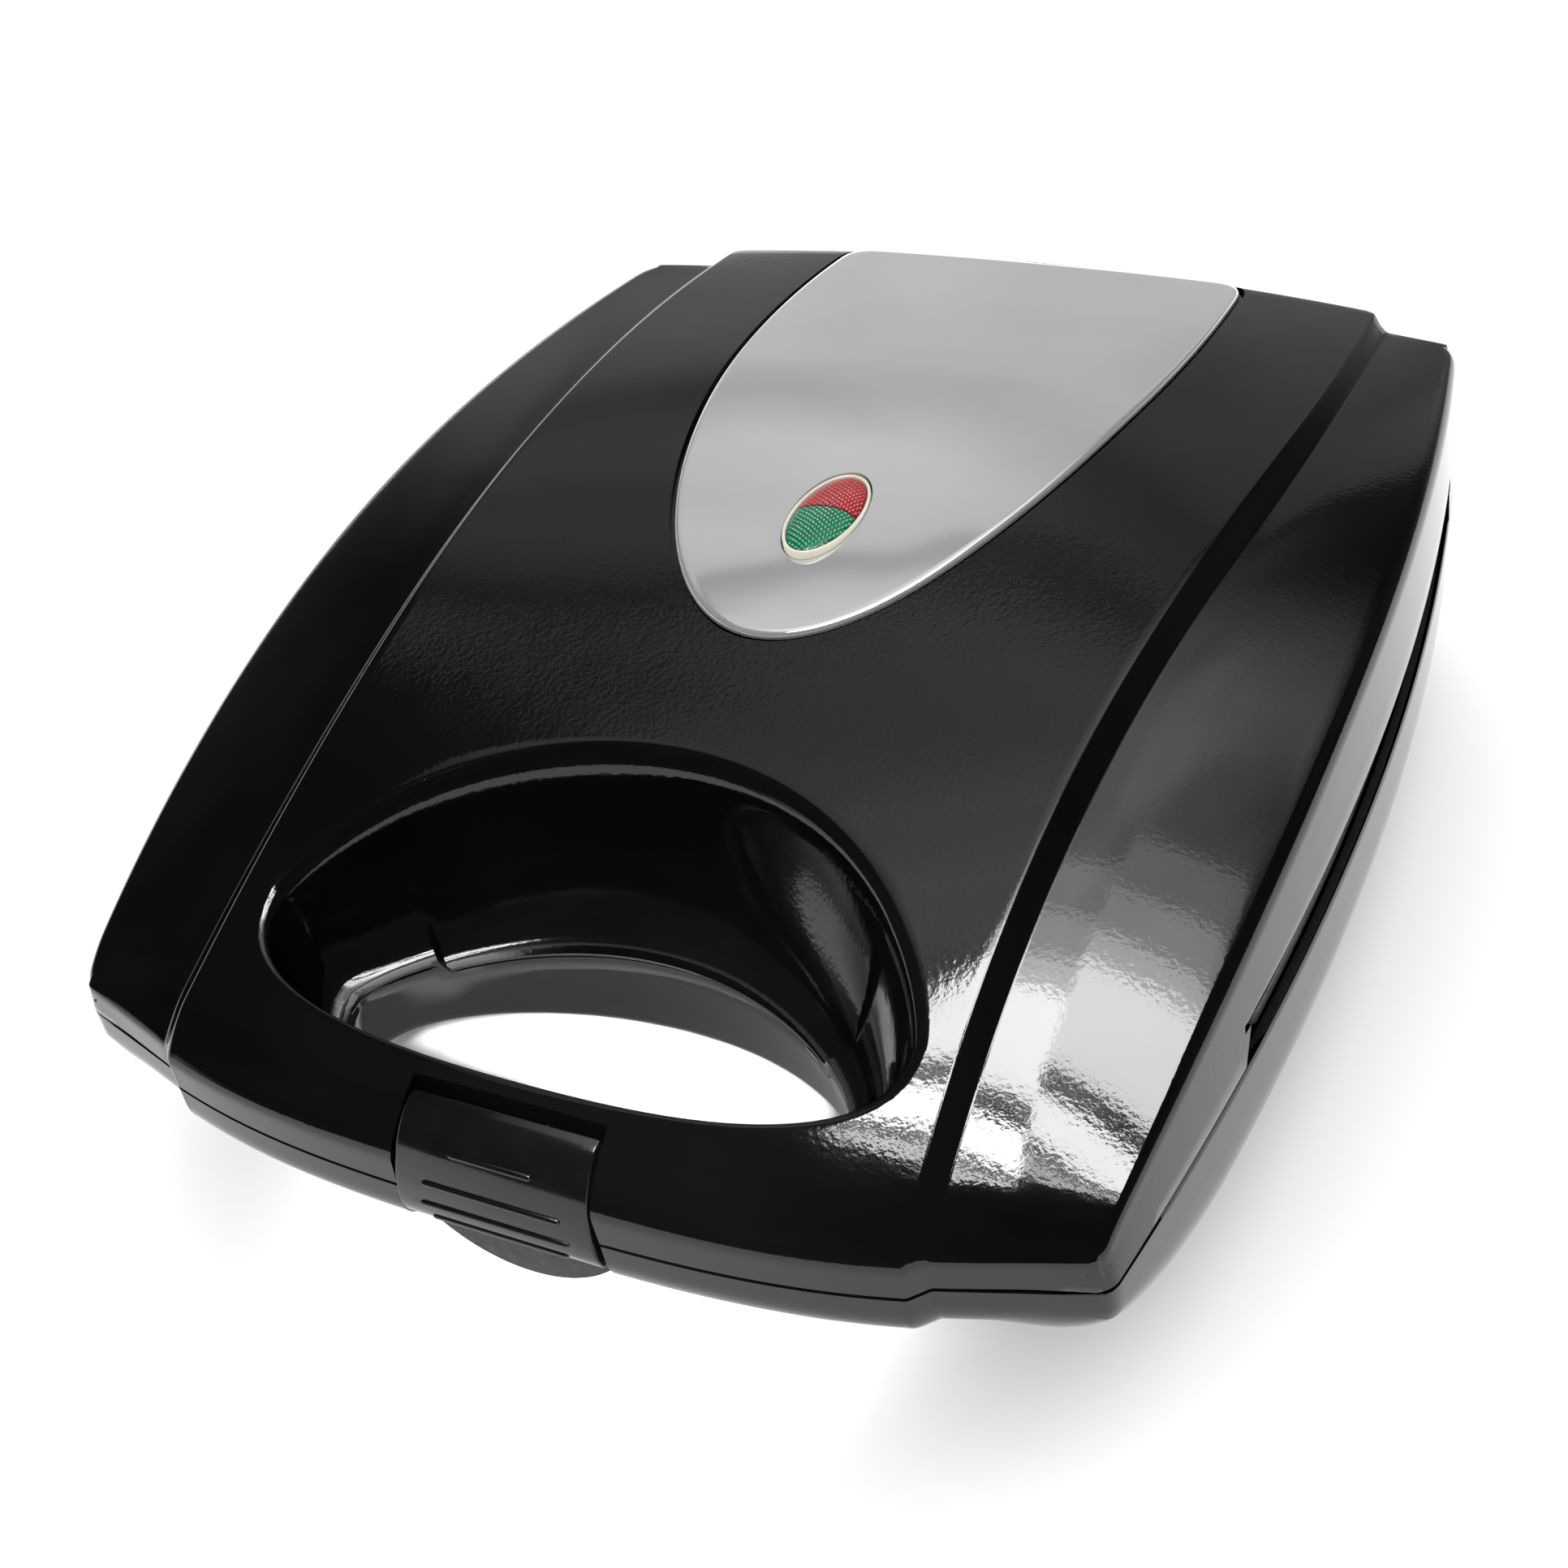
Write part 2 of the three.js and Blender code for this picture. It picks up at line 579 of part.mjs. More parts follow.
// ---- Small pieces of the base ----
const foot = (x, y) => turned([[0, -46], [7.2, -46], [8, -45.2], [8, -40.4], [3, -40.4], [3, -36], [0, -36]], 12, [x, y]);

function hingePin(side) {
  const reach = HINGE.knuckle + HINGE.ear + 0.6;
  const middle = side * HINGE.x;
  const shaft = bar('x', HINGE.pin, [middle - reach, middle + reach + 0.5], [HINGE.y, 0], 12);
  return shaft.add(bar('x', 3.6, [middle + reach + 0.4, middle + reach + 1.8], [HINGE.y, 0], 12));
}

function cordGland() {
  const profile = [[3.6, 262], [6, 262], [6, 268], [8.4, 268], [8, 270.6], [3.6, 270.6], [3.6, 262]];
  return solid(new THREE.LatheGeometry(profile.map(([r, y]) => new THREE.Vector2(r, y)), 20).translate(0, 0, -11));
}

function terminalBlock() {
  const block = box([-18, 18], [233, 247], [-33.5, -24.5]);
  const wells = [-12, 0, 12].map((x) => bar('z', 2.6, [-28, -20], [x, 240], 10));
  return cut(block, wells);
}

function wire(side) {
  const height = PLATE.contact - 0.2 - ELEMENT.height;
  return tube([[side * 12, 247.5, -29], [side * 13, 250, -28], [side * 17, 252, -24], [side * 20, 250, height],
    [side * 20, 246.6, height]], 1.1, 12, 6);
}

// ---- Materials ----
const colour = (hex, roughness, metalness = 0) => new THREE.MeshStandardMaterial({ color: hex, roughness, metalness });
const looks = {
  gloss: colour(0x0b0b0c, 0.12),
  satin: colour(0x111213, 0.35),
  steel: colour(0xc9cbcd, 0.25, 1),
  cast: colour(0x2c2d2f, 0.55, 0.3),
  zinc: colour(0xa8abb0, 0.35, 1),
  sheet: colour(0xb9bcbf, 0.4, 1),
  rod: colour(0x5c5e60, 0.5, 0.9),
  rubber: colour(0x1a1a1b, 0.85),
  cream: colour(0xe9e4d3, 0.4),
  red: colour(0xc8202a, 0.1),
  green: colour(0x12a05c, 0.1),
  ceramic: colour(0xe4e0d6, 0.6),
  bulb: colour(0xf1e6d6, 0.1),
  sleeve: colour(0xd8d4c8, 0.8),
};

// ---- Assembly ----
function piece(name, shape, look) {
  const mesh = new THREE.Mesh(geometryOf(shape), looks[look]);
  mesh.name = name;
  return mesh;
}

// One cooking set face up; the lid's is the same set turned over about the contact plane.
function cookingSet(prefix, tray) {
  const set = new THREE.Group();
  set.add(piece(`${prefix}_cooking_plate`, cookingPlate(), 'cast'));
  set.add(piece(`${prefix}_heating_element`, heatingElement(), 'rod'));
  set.add(piece(`${prefix}_heat_reflector`, tray, 'sheet'));
  SCREWS.forEach((place, i) => set.add(piece(`${prefix}_plate_screw_${i + 1}`, panScrew(place), 'zinc')));
  return set;
}

function base() {
  const group = new THREE.Group();
  group.add(piece('lower_shell', lowerShell(), 'gloss'));
  const set = cookingSet('lower', heatTray());
  set.position.z = PLATE.contact - 0.2;
  group.add(set);
  FEET.forEach(([place, x, y]) => group.add(piece(`foot_${place}`, foot(x, y), 'rubber')));
  group.add(piece('latch_catch', latchCatch(), 'satin'));
  group.add(piece('hinge_pin_left', hingePin(-1), 'zinc'), piece('hinge_pin_right', hingePin(1), 'zinc'));
  group.add(piece('cord_gland', cordGland(), 'rubber'));
  group.add(piece('terminal_block', terminalBlock(), 'ceramic'));
  group.add(piece('thermostat', bar('z', 9.2, [-10.6, -3.4], [0, 155], 20), 'zinc'));
  group.add(piece('thermal_fuse', bar('x', 2.4, [-40, -18], [155, -7], 10), 'sleeve'));
  group.add(piece('wire_left', wire(-1), 'sleeve'), piece('wire_right', wire(1), 'sleeve'));
  return group;
}

function lid() {
  const group = new THREE.Group();
  group.add(piece('upper_shell', upperShell(), 'gloss'));
  const set = cookingSet('upper', heatTray());
  set.rotation.y = Math.PI;
  set.position.z = PLATE.contact + 0.2;
  group.add(set);
  group.add(piece('top_panel', topPanel(), 'steel'));
  group.add(piece('lens_bezel', lensBezel(), 'cream'));
  group.add(piece('red_lens', redLens(), 'red'), piece('green_lens', greenLens(), 'green'));
  group.add(piece('lamp_holder', lampHolder(), 'cream'));
  group.add(piece('lamp_red', bar('z', 2.8, [30.6, 37], [0, LAMP.y + 6], 12), 'bulb'));
  group.add(piece('lamp_green', bar('z', 2.8, [30.6, 37], [0, LAMP.y - 6], 12), 'bulb'));
  group.add(piece('latch_pin', bar('x', LATCH.pin, [-22, 22], [LATCH.pivotY, LATCH.pivotZ], 10), 'zinc'));
  group.add(piece('latch_spring', latchSpring(), 'zinc'));
  return group;
}

const shells = new THREE.Group();
shells.position.set(0, FRONT_CORNER_Y, PARTING_HEIGHT);
shells.add(base(), lid(), piece('latch', latch(), 'satin'));

const donutMaker = new THREE.Group();
donutMaker.add(shells);
export default donutMaker;
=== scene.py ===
"""Donut maker, closed clamshell: fine shells, panel, lamp window, latch and plates around the CAD frame."""
import json
import math

import bmesh
import bpy
import numpy as np
from mathutils import Matrix, Vector


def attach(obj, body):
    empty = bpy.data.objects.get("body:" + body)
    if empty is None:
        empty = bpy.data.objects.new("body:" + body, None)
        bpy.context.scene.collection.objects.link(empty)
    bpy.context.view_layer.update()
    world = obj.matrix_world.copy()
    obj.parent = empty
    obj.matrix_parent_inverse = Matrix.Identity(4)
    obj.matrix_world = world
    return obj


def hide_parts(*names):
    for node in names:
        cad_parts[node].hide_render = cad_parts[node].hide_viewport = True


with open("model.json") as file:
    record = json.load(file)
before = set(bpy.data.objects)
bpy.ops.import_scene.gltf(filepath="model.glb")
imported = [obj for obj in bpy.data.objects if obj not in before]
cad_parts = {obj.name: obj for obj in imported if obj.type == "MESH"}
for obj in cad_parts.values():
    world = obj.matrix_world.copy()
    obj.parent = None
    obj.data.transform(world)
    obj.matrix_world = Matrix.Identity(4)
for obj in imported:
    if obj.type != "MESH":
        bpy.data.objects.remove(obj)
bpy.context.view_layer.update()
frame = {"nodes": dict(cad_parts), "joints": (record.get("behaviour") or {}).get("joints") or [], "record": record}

MM = 0.001
# How close points merge, in metres: on new pieces, and on casings once they are cut.
MERGE, CUT_MERGE = 0.00001, 0.000002

# ---- Shell coordinates: x from the middle, y back from the ridge's front corner, z up from the parting ----
HINGE_Y = 271.5
hinge = next(joint for joint in frame["joints"] if joint["name"] == "lid_hinge")
ORIGIN = Vector((0, hinge["pos_m"][1] - HINGE_Y * MM, hinge["pos_m"][2]))

SEAM = 0.2
WALL = 2.5
LENGTH = 267.5
WIDEST_HALF, WIDEST_AT = 110.44, 138
DRAFT = 1.3
STEP_WIDTH = 4.6
NOSE_FACE, NOSE_RADIUS, NOSE_REACH = 6, 9, 6.3
# Each side corner: where its two edges would meet, how they turn away from x and y, and its radius.
FRONT_CORNER = dict(at=(100.18, 11.68), out=-1, edge_turn=17.5, side_turn=9.2, radius=4.5)
REAR_CORNER = dict(at=(100.16, 252.75), out=1, edge_turn=16.4, side_turn=10.2, radius=12)
REAR_ROUND = 2.5
SIDE_ROUND_FRONT, SIDE_ROUND_BACK = 2, 3.4
BAR_DEPTH, BELLY_DEPTH = 13, 40
LOWER_WALL, LOWER_SWEEP = 0.35, 0.75
FINGER_RIM = dict(half=61.7, middle=30, back=43, front=21.6)
FINGER_PARTING = dict(half=49, middle=28, back=27, front=21)
FUNNEL_POWER = 0.39
JOG_X, JOG_LONG, JOG_RISE, JOG_FADE = 38.5, 0.8, 2.5, (16, 28)
PANEL_HALF, PANEL_LENGTH, PANEL_CENTRE, PANEL_BACK, PANEL_CORNER = 49.5, 134.4, 240, 264.3, 6
PANEL_PROUD, PANEL_SUNK, PANEL_MARGIN, PANEL_MIDDLE, PANEL_TAPER = 0.6, 0.7, 1.2, 205, 0.45
LAMP_Y, LAMP_LONG, LAMP_WIDE, LAMP_RIM = 141.3, 14.2, 7.4, 0.85
DIVIDE_AT, DIVIDE_RADIUS, DIVIDE_GAP = 142, 20, 0.2


def clamp(t, low=0.0, high=1.0):
    return np.minimum(np.maximum(t, low), high)


def mix(a, b, t):
    return a + (b - a) * t


def quarter(t):
    return np.sqrt(1 - (1 - clamp(t)) ** 2)


def smooth(start, end, value):
    t = clamp((value - start) / (end - start))
    return t * t * (3 - 2 * t)


def ramp(t, turn=0.22):
    """A straight ramp from 0 to 1 that turns in and out over a share of its length."""
    t = clamp(t)
    slope = 1 / (1 - turn)
    early, late = slope * t ** 2 / (2 * turn), 1 - slope * (1 - t) ** 2 / (2 * turn)
    return np.where(t < turn, early, np.where(t > 1 - turn, late, slope * (t - turn / 2)))


def ridge_half(y):
    return 74 - 5.3 * np.cos(np.pi * (y - 45) / 190)


def ridge_height(y):
    rise = clamp((143 - y) / 143, 0, 2)
    fall = clamp((y - 143) / 120, 0, 2)
    return 43.1 - 32.5 * rise ** 2.2 - 11.1 * fall ** 1.7


def side_height(y):
    rise = clamp((178 - y) / 178, 0, 2)
    fall = clamp((y - 178) / 78, 0, 2)
    return 34.6 - 30.4 * rise ** 2.2 - 3.6 * fall ** 1.7


def crown(y):
    return 4 - 6.4 * smooth(10, 100, y) + 4.9 * smooth(100, 200, y)


def step_drop(y):
    return 3.4 + 0.5 * smooth(0, 100, y) - 1.2 * smooth(150, 250, y)


def side_half(y):
    bow = np.where(y < WIDEST_AT, 10.2 * ((y - WIDEST_AT) / 126) ** 2, 10.5 * ((y - WIDEST_AT) / 116) ** 2)
    return WIDEST_HALF - bow


def front_edge(x):
    out = np.abs(x)
    bar = -NOSE_REACH * (1 - clamp(out / 70) ** 3)
    return bar + 3.6 * smooth(0, 1, (out - 70) / STEP_WIDTH) + 7.9 * clamp((out - 74.6) / 25, 0, 9)


def back_edge(x):
    out = np.abs(x)
    band = LENGTH - 4.6 * clamp(out / 77.7) ** 2
    return band - 4.9 * smooth(0, 1, (out - 77.7) / STEP_WIDTH) - 5 * clamp((out - 82.3) / 17, 0, 9)


def top_height(x, y):
    """The top surface: a crowned band, a step down and a side panel that falls outwards."""
    out = np.abs(x)
    ridge = ridge_half(y)
    foot = ridge + STEP_WIDTH
    band = ridge_height(y) + crown(y) * (1 - (out / ridge) ** 2)
    step = ridge_height(y) - step_drop(y) * ramp((out - ridge) / STEP_WIDTH)
    across = clamp((out - foot) / (side_half(y) - foot))
    side = mix(ridge_height(y) - step_drop(y), side_height(y), across ** 1.5)
    return np.where(out <= ridge, band, np.where(out <= foot, step, side))


def upper_height(x, y):
    top = top_height(x, y)
    face = np.minimum(top, NOSE_FACE)
    nosed = face + (top - face) * quarter((y - front_edge(x)) / NOSE_RADIUS)
    return nosed - REAR_ROUND * (1 - quarter((back_edge(x) - y) / REAR_ROUND))


def lower_height(x, y):
    middle = mix(BAR_DEPTH, BELLY_DEPTH, smooth(30, 110, y))
    beside = mix(BAR_DEPTH, BELLY_DEPTH, np.sin(clamp((y - 8) / 52) * np.pi / 2))
    depth = mix(middle, beside, smooth(45, 80, np.abs(x)))
    wall, sweep = LOWER_WALL * depth, LOWER_SWEEP * depth
    side = quarter((side_half(y) - np.abs(x)) / sweep)
    ends = quarter((y - front_edge(x)) / sweep) * quarter((back_edge(x) - y) / sweep)
    return -(wall + (depth - wall) * side * ends)


def finger_point(shape, angle, grow=0.0):
    c, s = np.cos(angle), np.sin(angle)
    back = shape["back"] * clamp(s) ** 1.5
    front = shape["front"] * clamp(1 - np.abs(c) ** 2.5) ** 0.4
    x, reach = shape["half"] * c, np.where(s > 0, back, -front)
    size = np.hypot(x, reach)
    return x * (1 + grow / size), shape["middle"] + reach * (1 + grow / size)


def parting_jog(x, y):
    """Inside the finger opening the parting line steps up at both ends of the back wall."""
    return JOG_RISE * ramp((np.abs(x) - JOG_X) / JOG_LONG) * smooth(*JOG_FADE, y)


# ---- Mesh helpers ----
def place(points):
    return [ORIGIN + Vector(point) * MM for point in points]


def assign(thing, settings):
    for setting, value in settings.items():
        setattr(thing, setting, value)


def linked(name, data):
    thing = bpy.data.objects.new(name, data)
    bpy.context.scene.collection.objects.link(thing)
    return thing


def make_object(name, points, faces):
    mesh = bpy.data.meshes.new(name)
    mesh.from_pydata(place(points), [], faces)
    mesh.update()
    return linked(name, mesh)


def tidy(thing, sharp=35, merge=MERGE):
    """Merges doubles, turns faces out and marks the edges that stay sharp."""
    mesh = bmesh.new()
    mesh.from_mesh(thing.data)
    bmesh.ops.remove_doubles(mesh, verts=mesh.verts, dist=merge)
    bmesh.ops.recalc_face_normals(mesh, faces=mesh.faces)
    for face in mesh.faces:
        face.smooth = True
    for edge in mesh.edges:
        edge.smooth = len(edge.link_faces) == 2 and edge.calc_face_angle(0) < math.radians(sharp)
    mesh.to_mesh(thing.data)
    mesh.free()
    return thing


def bake(thing, *extras):
    """Applies the modifiers of a piece and removes the helpers they used."""
    depsgraph = bpy.context.evaluated_depsgraph_get()
    result = bpy.data.meshes.new_from_object(thing.evaluated_get(depsgraph))
    thing.modifiers.clear()
    thing.data = result
    result.name = thing.name
    for extra in extras:
        bpy.data.objects.remove(extra)
    return thing


def modify(thing, kind, **settings):
    assign(thing.modifiers.new(kind, kind), settings)


def carve(thing, *cutters, operation="DIFFERENCE"):
    for cutter in cutters:
        modify(thing, "BOOLEAN", operation=operation, solver="MANIFOLD", object=cutter)
    bpy.context.view_layer.update()
    return bake(thing, *cutters)


def bevelled(thing, width, segments=3, angle=30):
    angle = math.radians(angle)
    modify(thing, "BEVEL", width=width * MM, segments=segments, limit_method="ANGLE", angle_limit=angle)
    return bake(thing)


def box(name, xs, ys, zs):
    points = [(x, y, z) for x in xs for y in ys for z in zs]
    faces = [(0, 1, 3, 2), (4, 6, 7, 5), (0, 4, 5, 1), (2, 3, 7, 6), (0, 2, 6, 4), (1, 5, 7, 3)]
    return tidy(make_object(name, points, faces))


def sleeve(name, rings, sharp=35, caps=False, closed=False):
    """A surface through rings of equal length, with flat caps or closed from the last ring to the first."""
    count = len(rings[0])
    points = [tuple(point) for ring in rings for point in ring]
    faces = []
    for r in range(len(rings) if closed else len(rings) - 1):
        here, after = r * count, (r + 1) % len(rings) * count
        for i in range(count):
            k = (i + 1) % count
            faces.append((here + i, here + k, after + k, after + i))
    if caps:
        faces.append(tuple(reversed(range(count))))
        faces.append(tuple(range(len(points) - count, len(points))))
    return tidy(make_object(name, points, faces), sharp)


def loft(name, rings, sharp=35):
    return sleeve(name, rings, sharp, caps=True)


def turned(name, profile, centre, axis="z", sides=64, sharp=35):
    """A turned piece from (radius, height) points that start and end on the axis or close on themselves."""
    rings = []
    for radius, height in profile:
        ring = []
        for i in range(sides):
            angle = 2 * math.pi * i / sides
            u, v = radius * math.cos(angle), radius * math.sin(angle)
            local = {"x": (height, u, v), "y": (v, height, u), "z": (u, v, height)}[axis]
            ring.append(tuple(a + b for a, b in zip(local, centre)))
        rings.append(ring)
    return sleeve(name, rings, sharp)


# ---- The fine shells ----
# Grid columns run from -3 to 3: the band to 1, the step to 2 and the side panel, SIDE_SPAN wide, to 3.
SIDE_SPAN = 34
ROW_SPAN = LENGTH + 4
CASING_DEPTH = LENGTH + 6
SIDE_WALL_FROM, SIDE_WALL_BLEND = 88, 8
FRONT_WALL_TO, BACK_WALL_FROM = 40, 240
# The part of the grid that the finger opening and the patch round it take up.
UPPER_HOLE = dict(y_front=3.6, y_back=82, column=0.96)
LOWER_HOLE = dict(y_front=3.6, y_back=72, column=0.8)
RIM_OUT, RIM_DOWN = 2.6, 0.84
LOWER_RIM_OUT, LOWER_RIM_IN, LOWER_RIM_UP = 4.5, 1.5, 2.6


def round_steps(radius, count):
    """Distances from an edge that sample a quarter round evenly."""
    return [radius * (1 - math.cos(math.pi / 2 * i / count)) for i in range(count)]


def columns(edge_round, edge_count):
    band = list(np.linspace(0, 0.96, 25)) + [0.98, 1.0]
    step = [1.04, 1.08, 1.12, 1.17, 1.22, 1.5, 1.78, 1.83, 1.88, 1.92, 1.96, 2.0]
    edge = [3 - d / SIDE_SPAN for d in round_steps(edge_round, edge_count)][::-1]
    side = list(np.linspace(2, edge[0], 13)[1:-1])
    half = band + step + side + edge
    return [-c for c in reversed(half[1:])] + half


def rows(front_round, rear_round, count):
    front = round_steps(front_round, count)
    rear = [ROW_SPAN - d for d in round_steps(rear_round, count)][::-1]
    middle = list(np.linspace(front_round, ROW_SPAN - rear_round, 100))
    return [d / ROW_SPAN for d in front + middle + rear]


def round_corner(x, y, corner):
    """Pulls the places of the plan that lie in a sharp corner back onto its arc."""
    edge, side = math.radians(corner["edge_turn"]), math.radians(corner["side_turn"])
    across = np.array([math.sin(edge), corner["out"] * math.cos(edge)])
    beside = np.array([math.cos(side), corner["out"] * math.sin(side)])
    reach = np.linalg.solve(np.stack([across, beside]), np.full(2, -corner["radius"]))
    centre = np.array(corner["at"]) + reach
    dx, dy = np.abs(x) - centre[0], y - centre[1]
    past_edge = corner["out"] * (dx * across[1] - dy * across[0]) > 0
    past_side = corner["out"] * (beside[0] * dy - beside[1] * dx) > 0
    inside = past_edge & past_side
    along = np.maximum(dx * across[0] + dy * across[1], dx * beside[0] + dy * beside[1])
    scale = np.where(inside, along / np.maximum(np.hypot(dx, dy), 1e-6), 1)
    return np.sign(x) * (centre[0] + dx * scale), centre[1] + dy * scale


def across_shell(column, y):
    c = np.abs(column)
    ridge, half = ridge_half(y), side_half(y)
    foot = ridge + STEP_WIDTH
    out = np.where(c <= 1, ridge * c, np.where(c <= 2, mix(ridge, foot, c - 1), mix(foot, half, c - 2)))
    return np.sign(column) * out


def plan(column, row, draft):
    """Places of the plan grid; its side edges are draft mm inside the widest outline."""
    x = across_shell(column, LENGTH * row)
    for _ in range(4):
        y = mix(front_edge(x), back_edge(x), row)
        x = across_shell(column, y)
    y = mix(front_edge(x), back_edge(x), row)
    x, y = round_corner(*round_corner(x, y, FRONT_CORNER), REAR_CORNER)
    return x * (1 - draft * clamp(np.abs(column) - 2) / side_half(y)), y


class Skin:
    """Points and faces of one continuous surface."""

    def __init__(self):
        self.points, self.faces = [], []

    def add(self, x, y, z):
        start = len(self.points)
        self.points += [tuple(p) for p in np.stack([x, y, z], -1).reshape(-1, 3)]
        return list(range(start, len(self.points)))

    def bridge(self, loop, after):
        count = len(loop)
        for i in range(count):
            k = (i + 1) % count
            self.faces.append((loop[i], loop[k], after[k], after[i]))

    def extend(self, loop, x, y, z):
        """Adds a ring of points, joins it to the loop before it and returns it."""
        ring = self.add(x, y, z)
        self.bridge(loop, ring)
        return ring

    def cover(self, ids, hole=(0, 0, 0, 0)):
        """Adds the cells of a grid of points, except those inside hole."""
        c0, c1, r0, r1 = hole
        for r in range(ids.shape[0] - 1):
            for c in range(ids.shape[1] - 1):
                if not (c0 <= c < c1 and r0 <= r < r1):
                    self.faces.append((ids[r, c], ids[r, c + 1], ids[r + 1, c + 1], ids[r + 1, c]))


def grid_loop(ids, a, b, low, high):
    """The points of a grid round columns a to b and rows low to high."""
    front = [ids[low, c] for c in range(a, b)]
    right = [ids[r, b] for r in range(low, high)]
    back = [ids[high, c] for c in range(b, a, -1)]
    left = [ids[r, a] for r in range(high, low, -1)]
    return front + right + back + left


def grid_with_hole(skin, cs, rs, height, hole, draft):
    """Adds the plan grid and leaves out the cells inside hole; returns its outer loop and the hole's loop."""
    c_grid, r_grid = np.meshgrid(np.array(cs), np.array(rs))
    x, y = plan(c_grid, r_grid, draft)
    ids = np.array(skin.add(x, y, height(x, y, c_grid))).reshape(x.shape)
    skin.cover(ids, hole)
    return grid_loop(ids, 0, len(cs) - 1, 0, len(rs) - 1), grid_loop(ids, *hole)


def hole_cells(cs, rs, y_front, y_back, column):
    """The first and last columns and rows of the grid nearest to a box in the middle."""
    def nearest(values, target):
        return min(range(len(values)), key=lambda i: abs(values[i] - target))

    depths = [row * CASING_DEPTH - NOSE_REACH for row in rs]
    return nearest(cs, -column), nearest(cs, column), nearest(depths, y_front), nearest(depths, y_back)


def loop_xy(skin, loop):
    places = np.array([skin.points[i] for i in loop])
    return places[:, 0], places[:, 1]


def rim_angles(skin, loop, shape):
    x, y = loop_xy(skin, loop)
    reach = y - shape["middle"]
    return np.arctan2(reach / np.where(reach > 0, shape["back"], shape["front"]), x / shape["half"])


def wall_down(skin, loop, levels, draft):
    """Rings from a loop to the parting plane; levels are (share of the way down, outward lean in mm)."""
    x, y = loop_xy(skin, loop)
    z = np.array([skin.points[i][2] for i in loop])
    side = clamp((np.abs(x) - SIDE_WALL_FROM) / SIDE_WALL_BLEND)
    last = loop
    for share, lean in levels:
        grow = 1 + (draft * share * side + lean) / np.maximum(np.abs(x), 20)
        shift = np.where(y < FRONT_WALL_TO, -lean, np.where(y > BACK_WALL_FROM, lean, 0)) * (1 - side)
        last = skin.extend(last, x * np.where(side > 0, grow, 1), y + shift, mix(z, np.sign(z) * SEAM, share))
    return last


def opening_patch(skin, hole, shape, height, round_out, steps):
    """Fills from the grid's hole to the edge of the finger opening; returns the last ring and its angles."""
    angle = rim_angles(skin, hole, shape)
    x, y = loop_xy(skin, hole)
    edge_x, edge_y = finger_point(shape, angle, round_out)
    last = hole
    for k in range(1, steps + 1):
        t = k / steps
        px, py = mix(x, edge_x, t), mix(y, edge_y, t)
        last = skin.extend(last, px, py, height(px, py, np.zeros_like(px)))
    return last, angle


def bend(a, b, c, t):
    """A quadratic curve from a to c that turns at b."""
    return a * (1 - t) ** 2 + 2 * b * t * (1 - t) + c * t ** 2


def close_solid(skin, name):
    """Gives a casing's outer surface its wall, inwards."""
    thing = tidy(make_object(name, skin.points, skin.faces))
    modify(thing, "SOLIDIFY", thickness=WALL * MM, offset=-1, use_even_offset=False)
    return bake(thing)


def funnel_point(angle, share):
    """A point of the finger opening's wall at a share of the way up from the parting plane to the rim."""
    low_x, low_y = finger_point(FINGER_PARTING, angle)
    rim_x, rim_y = finger_point(FINGER_RIM, angle)
    t = share ** FUNNEL_POWER
    height = mix(parting_jog(low_x, low_y), upper_height(rim_x, rim_y), share)
    return np.stack([mix(low_x, rim_x, t), mix(low_y, rim_y, t), height], -1)


def upper_casing():
    skin = Skin()
    cs, rs = columns(SIDE_ROUND_BACK, 10), rows(NOSE_RADIUS, REAR_ROUND, 12)

    def height(x, y, column):
        radius = mix(SIDE_ROUND_FRONT, SIDE_ROUND_BACK, smooth(5, 90, y))
        edge = radius * (1 - quarter((3 - np.abs(column)) * SIDE_SPAN / radius))
        return upper_height(x, y) - np.where(np.abs(column) > 2, edge, 0)

    hole = hole_cells(cs, rs, **UPPER_HOLE)
    outline, gap = grid_with_hole(skin, cs, rs, height, hole, DRAFT)
    wall_down(skin, outline[::-1], [(0.25, 0), (0.5, 0), (0.75, 0), (0.96, 0), (1, -0.3)], DRAFT)
    last, angle = opening_patch(skin, gap[::-1], FINGER_RIM, height, RIM_OUT, 12)
    corner = funnel_point(angle, 1.0)
    start = np.array([skin.points[i] for i in last])
    end = funnel_point(angle, RIM_DOWN)
    for t in np.linspace(0, 1, 8)[1:]:
        last = skin.extend(last, *bend(start, corner, end, t).T)
    for share in [0.76, 0.66, 0.56, 0.46, 0.36, 0.27, 0.19, 0.12, 0.07, 0.035, 0.015, 0.004]:
        last = skin.extend(last, *funnel_point(angle, share).T)
    low_x, low_y = finger_point(FINGER_PARTING, angle, 0.25)
    skin.extend(last, low_x, low_y, SEAM + parting_jog(low_x, low_y))
    return close_solid(skin, "lid_casing")


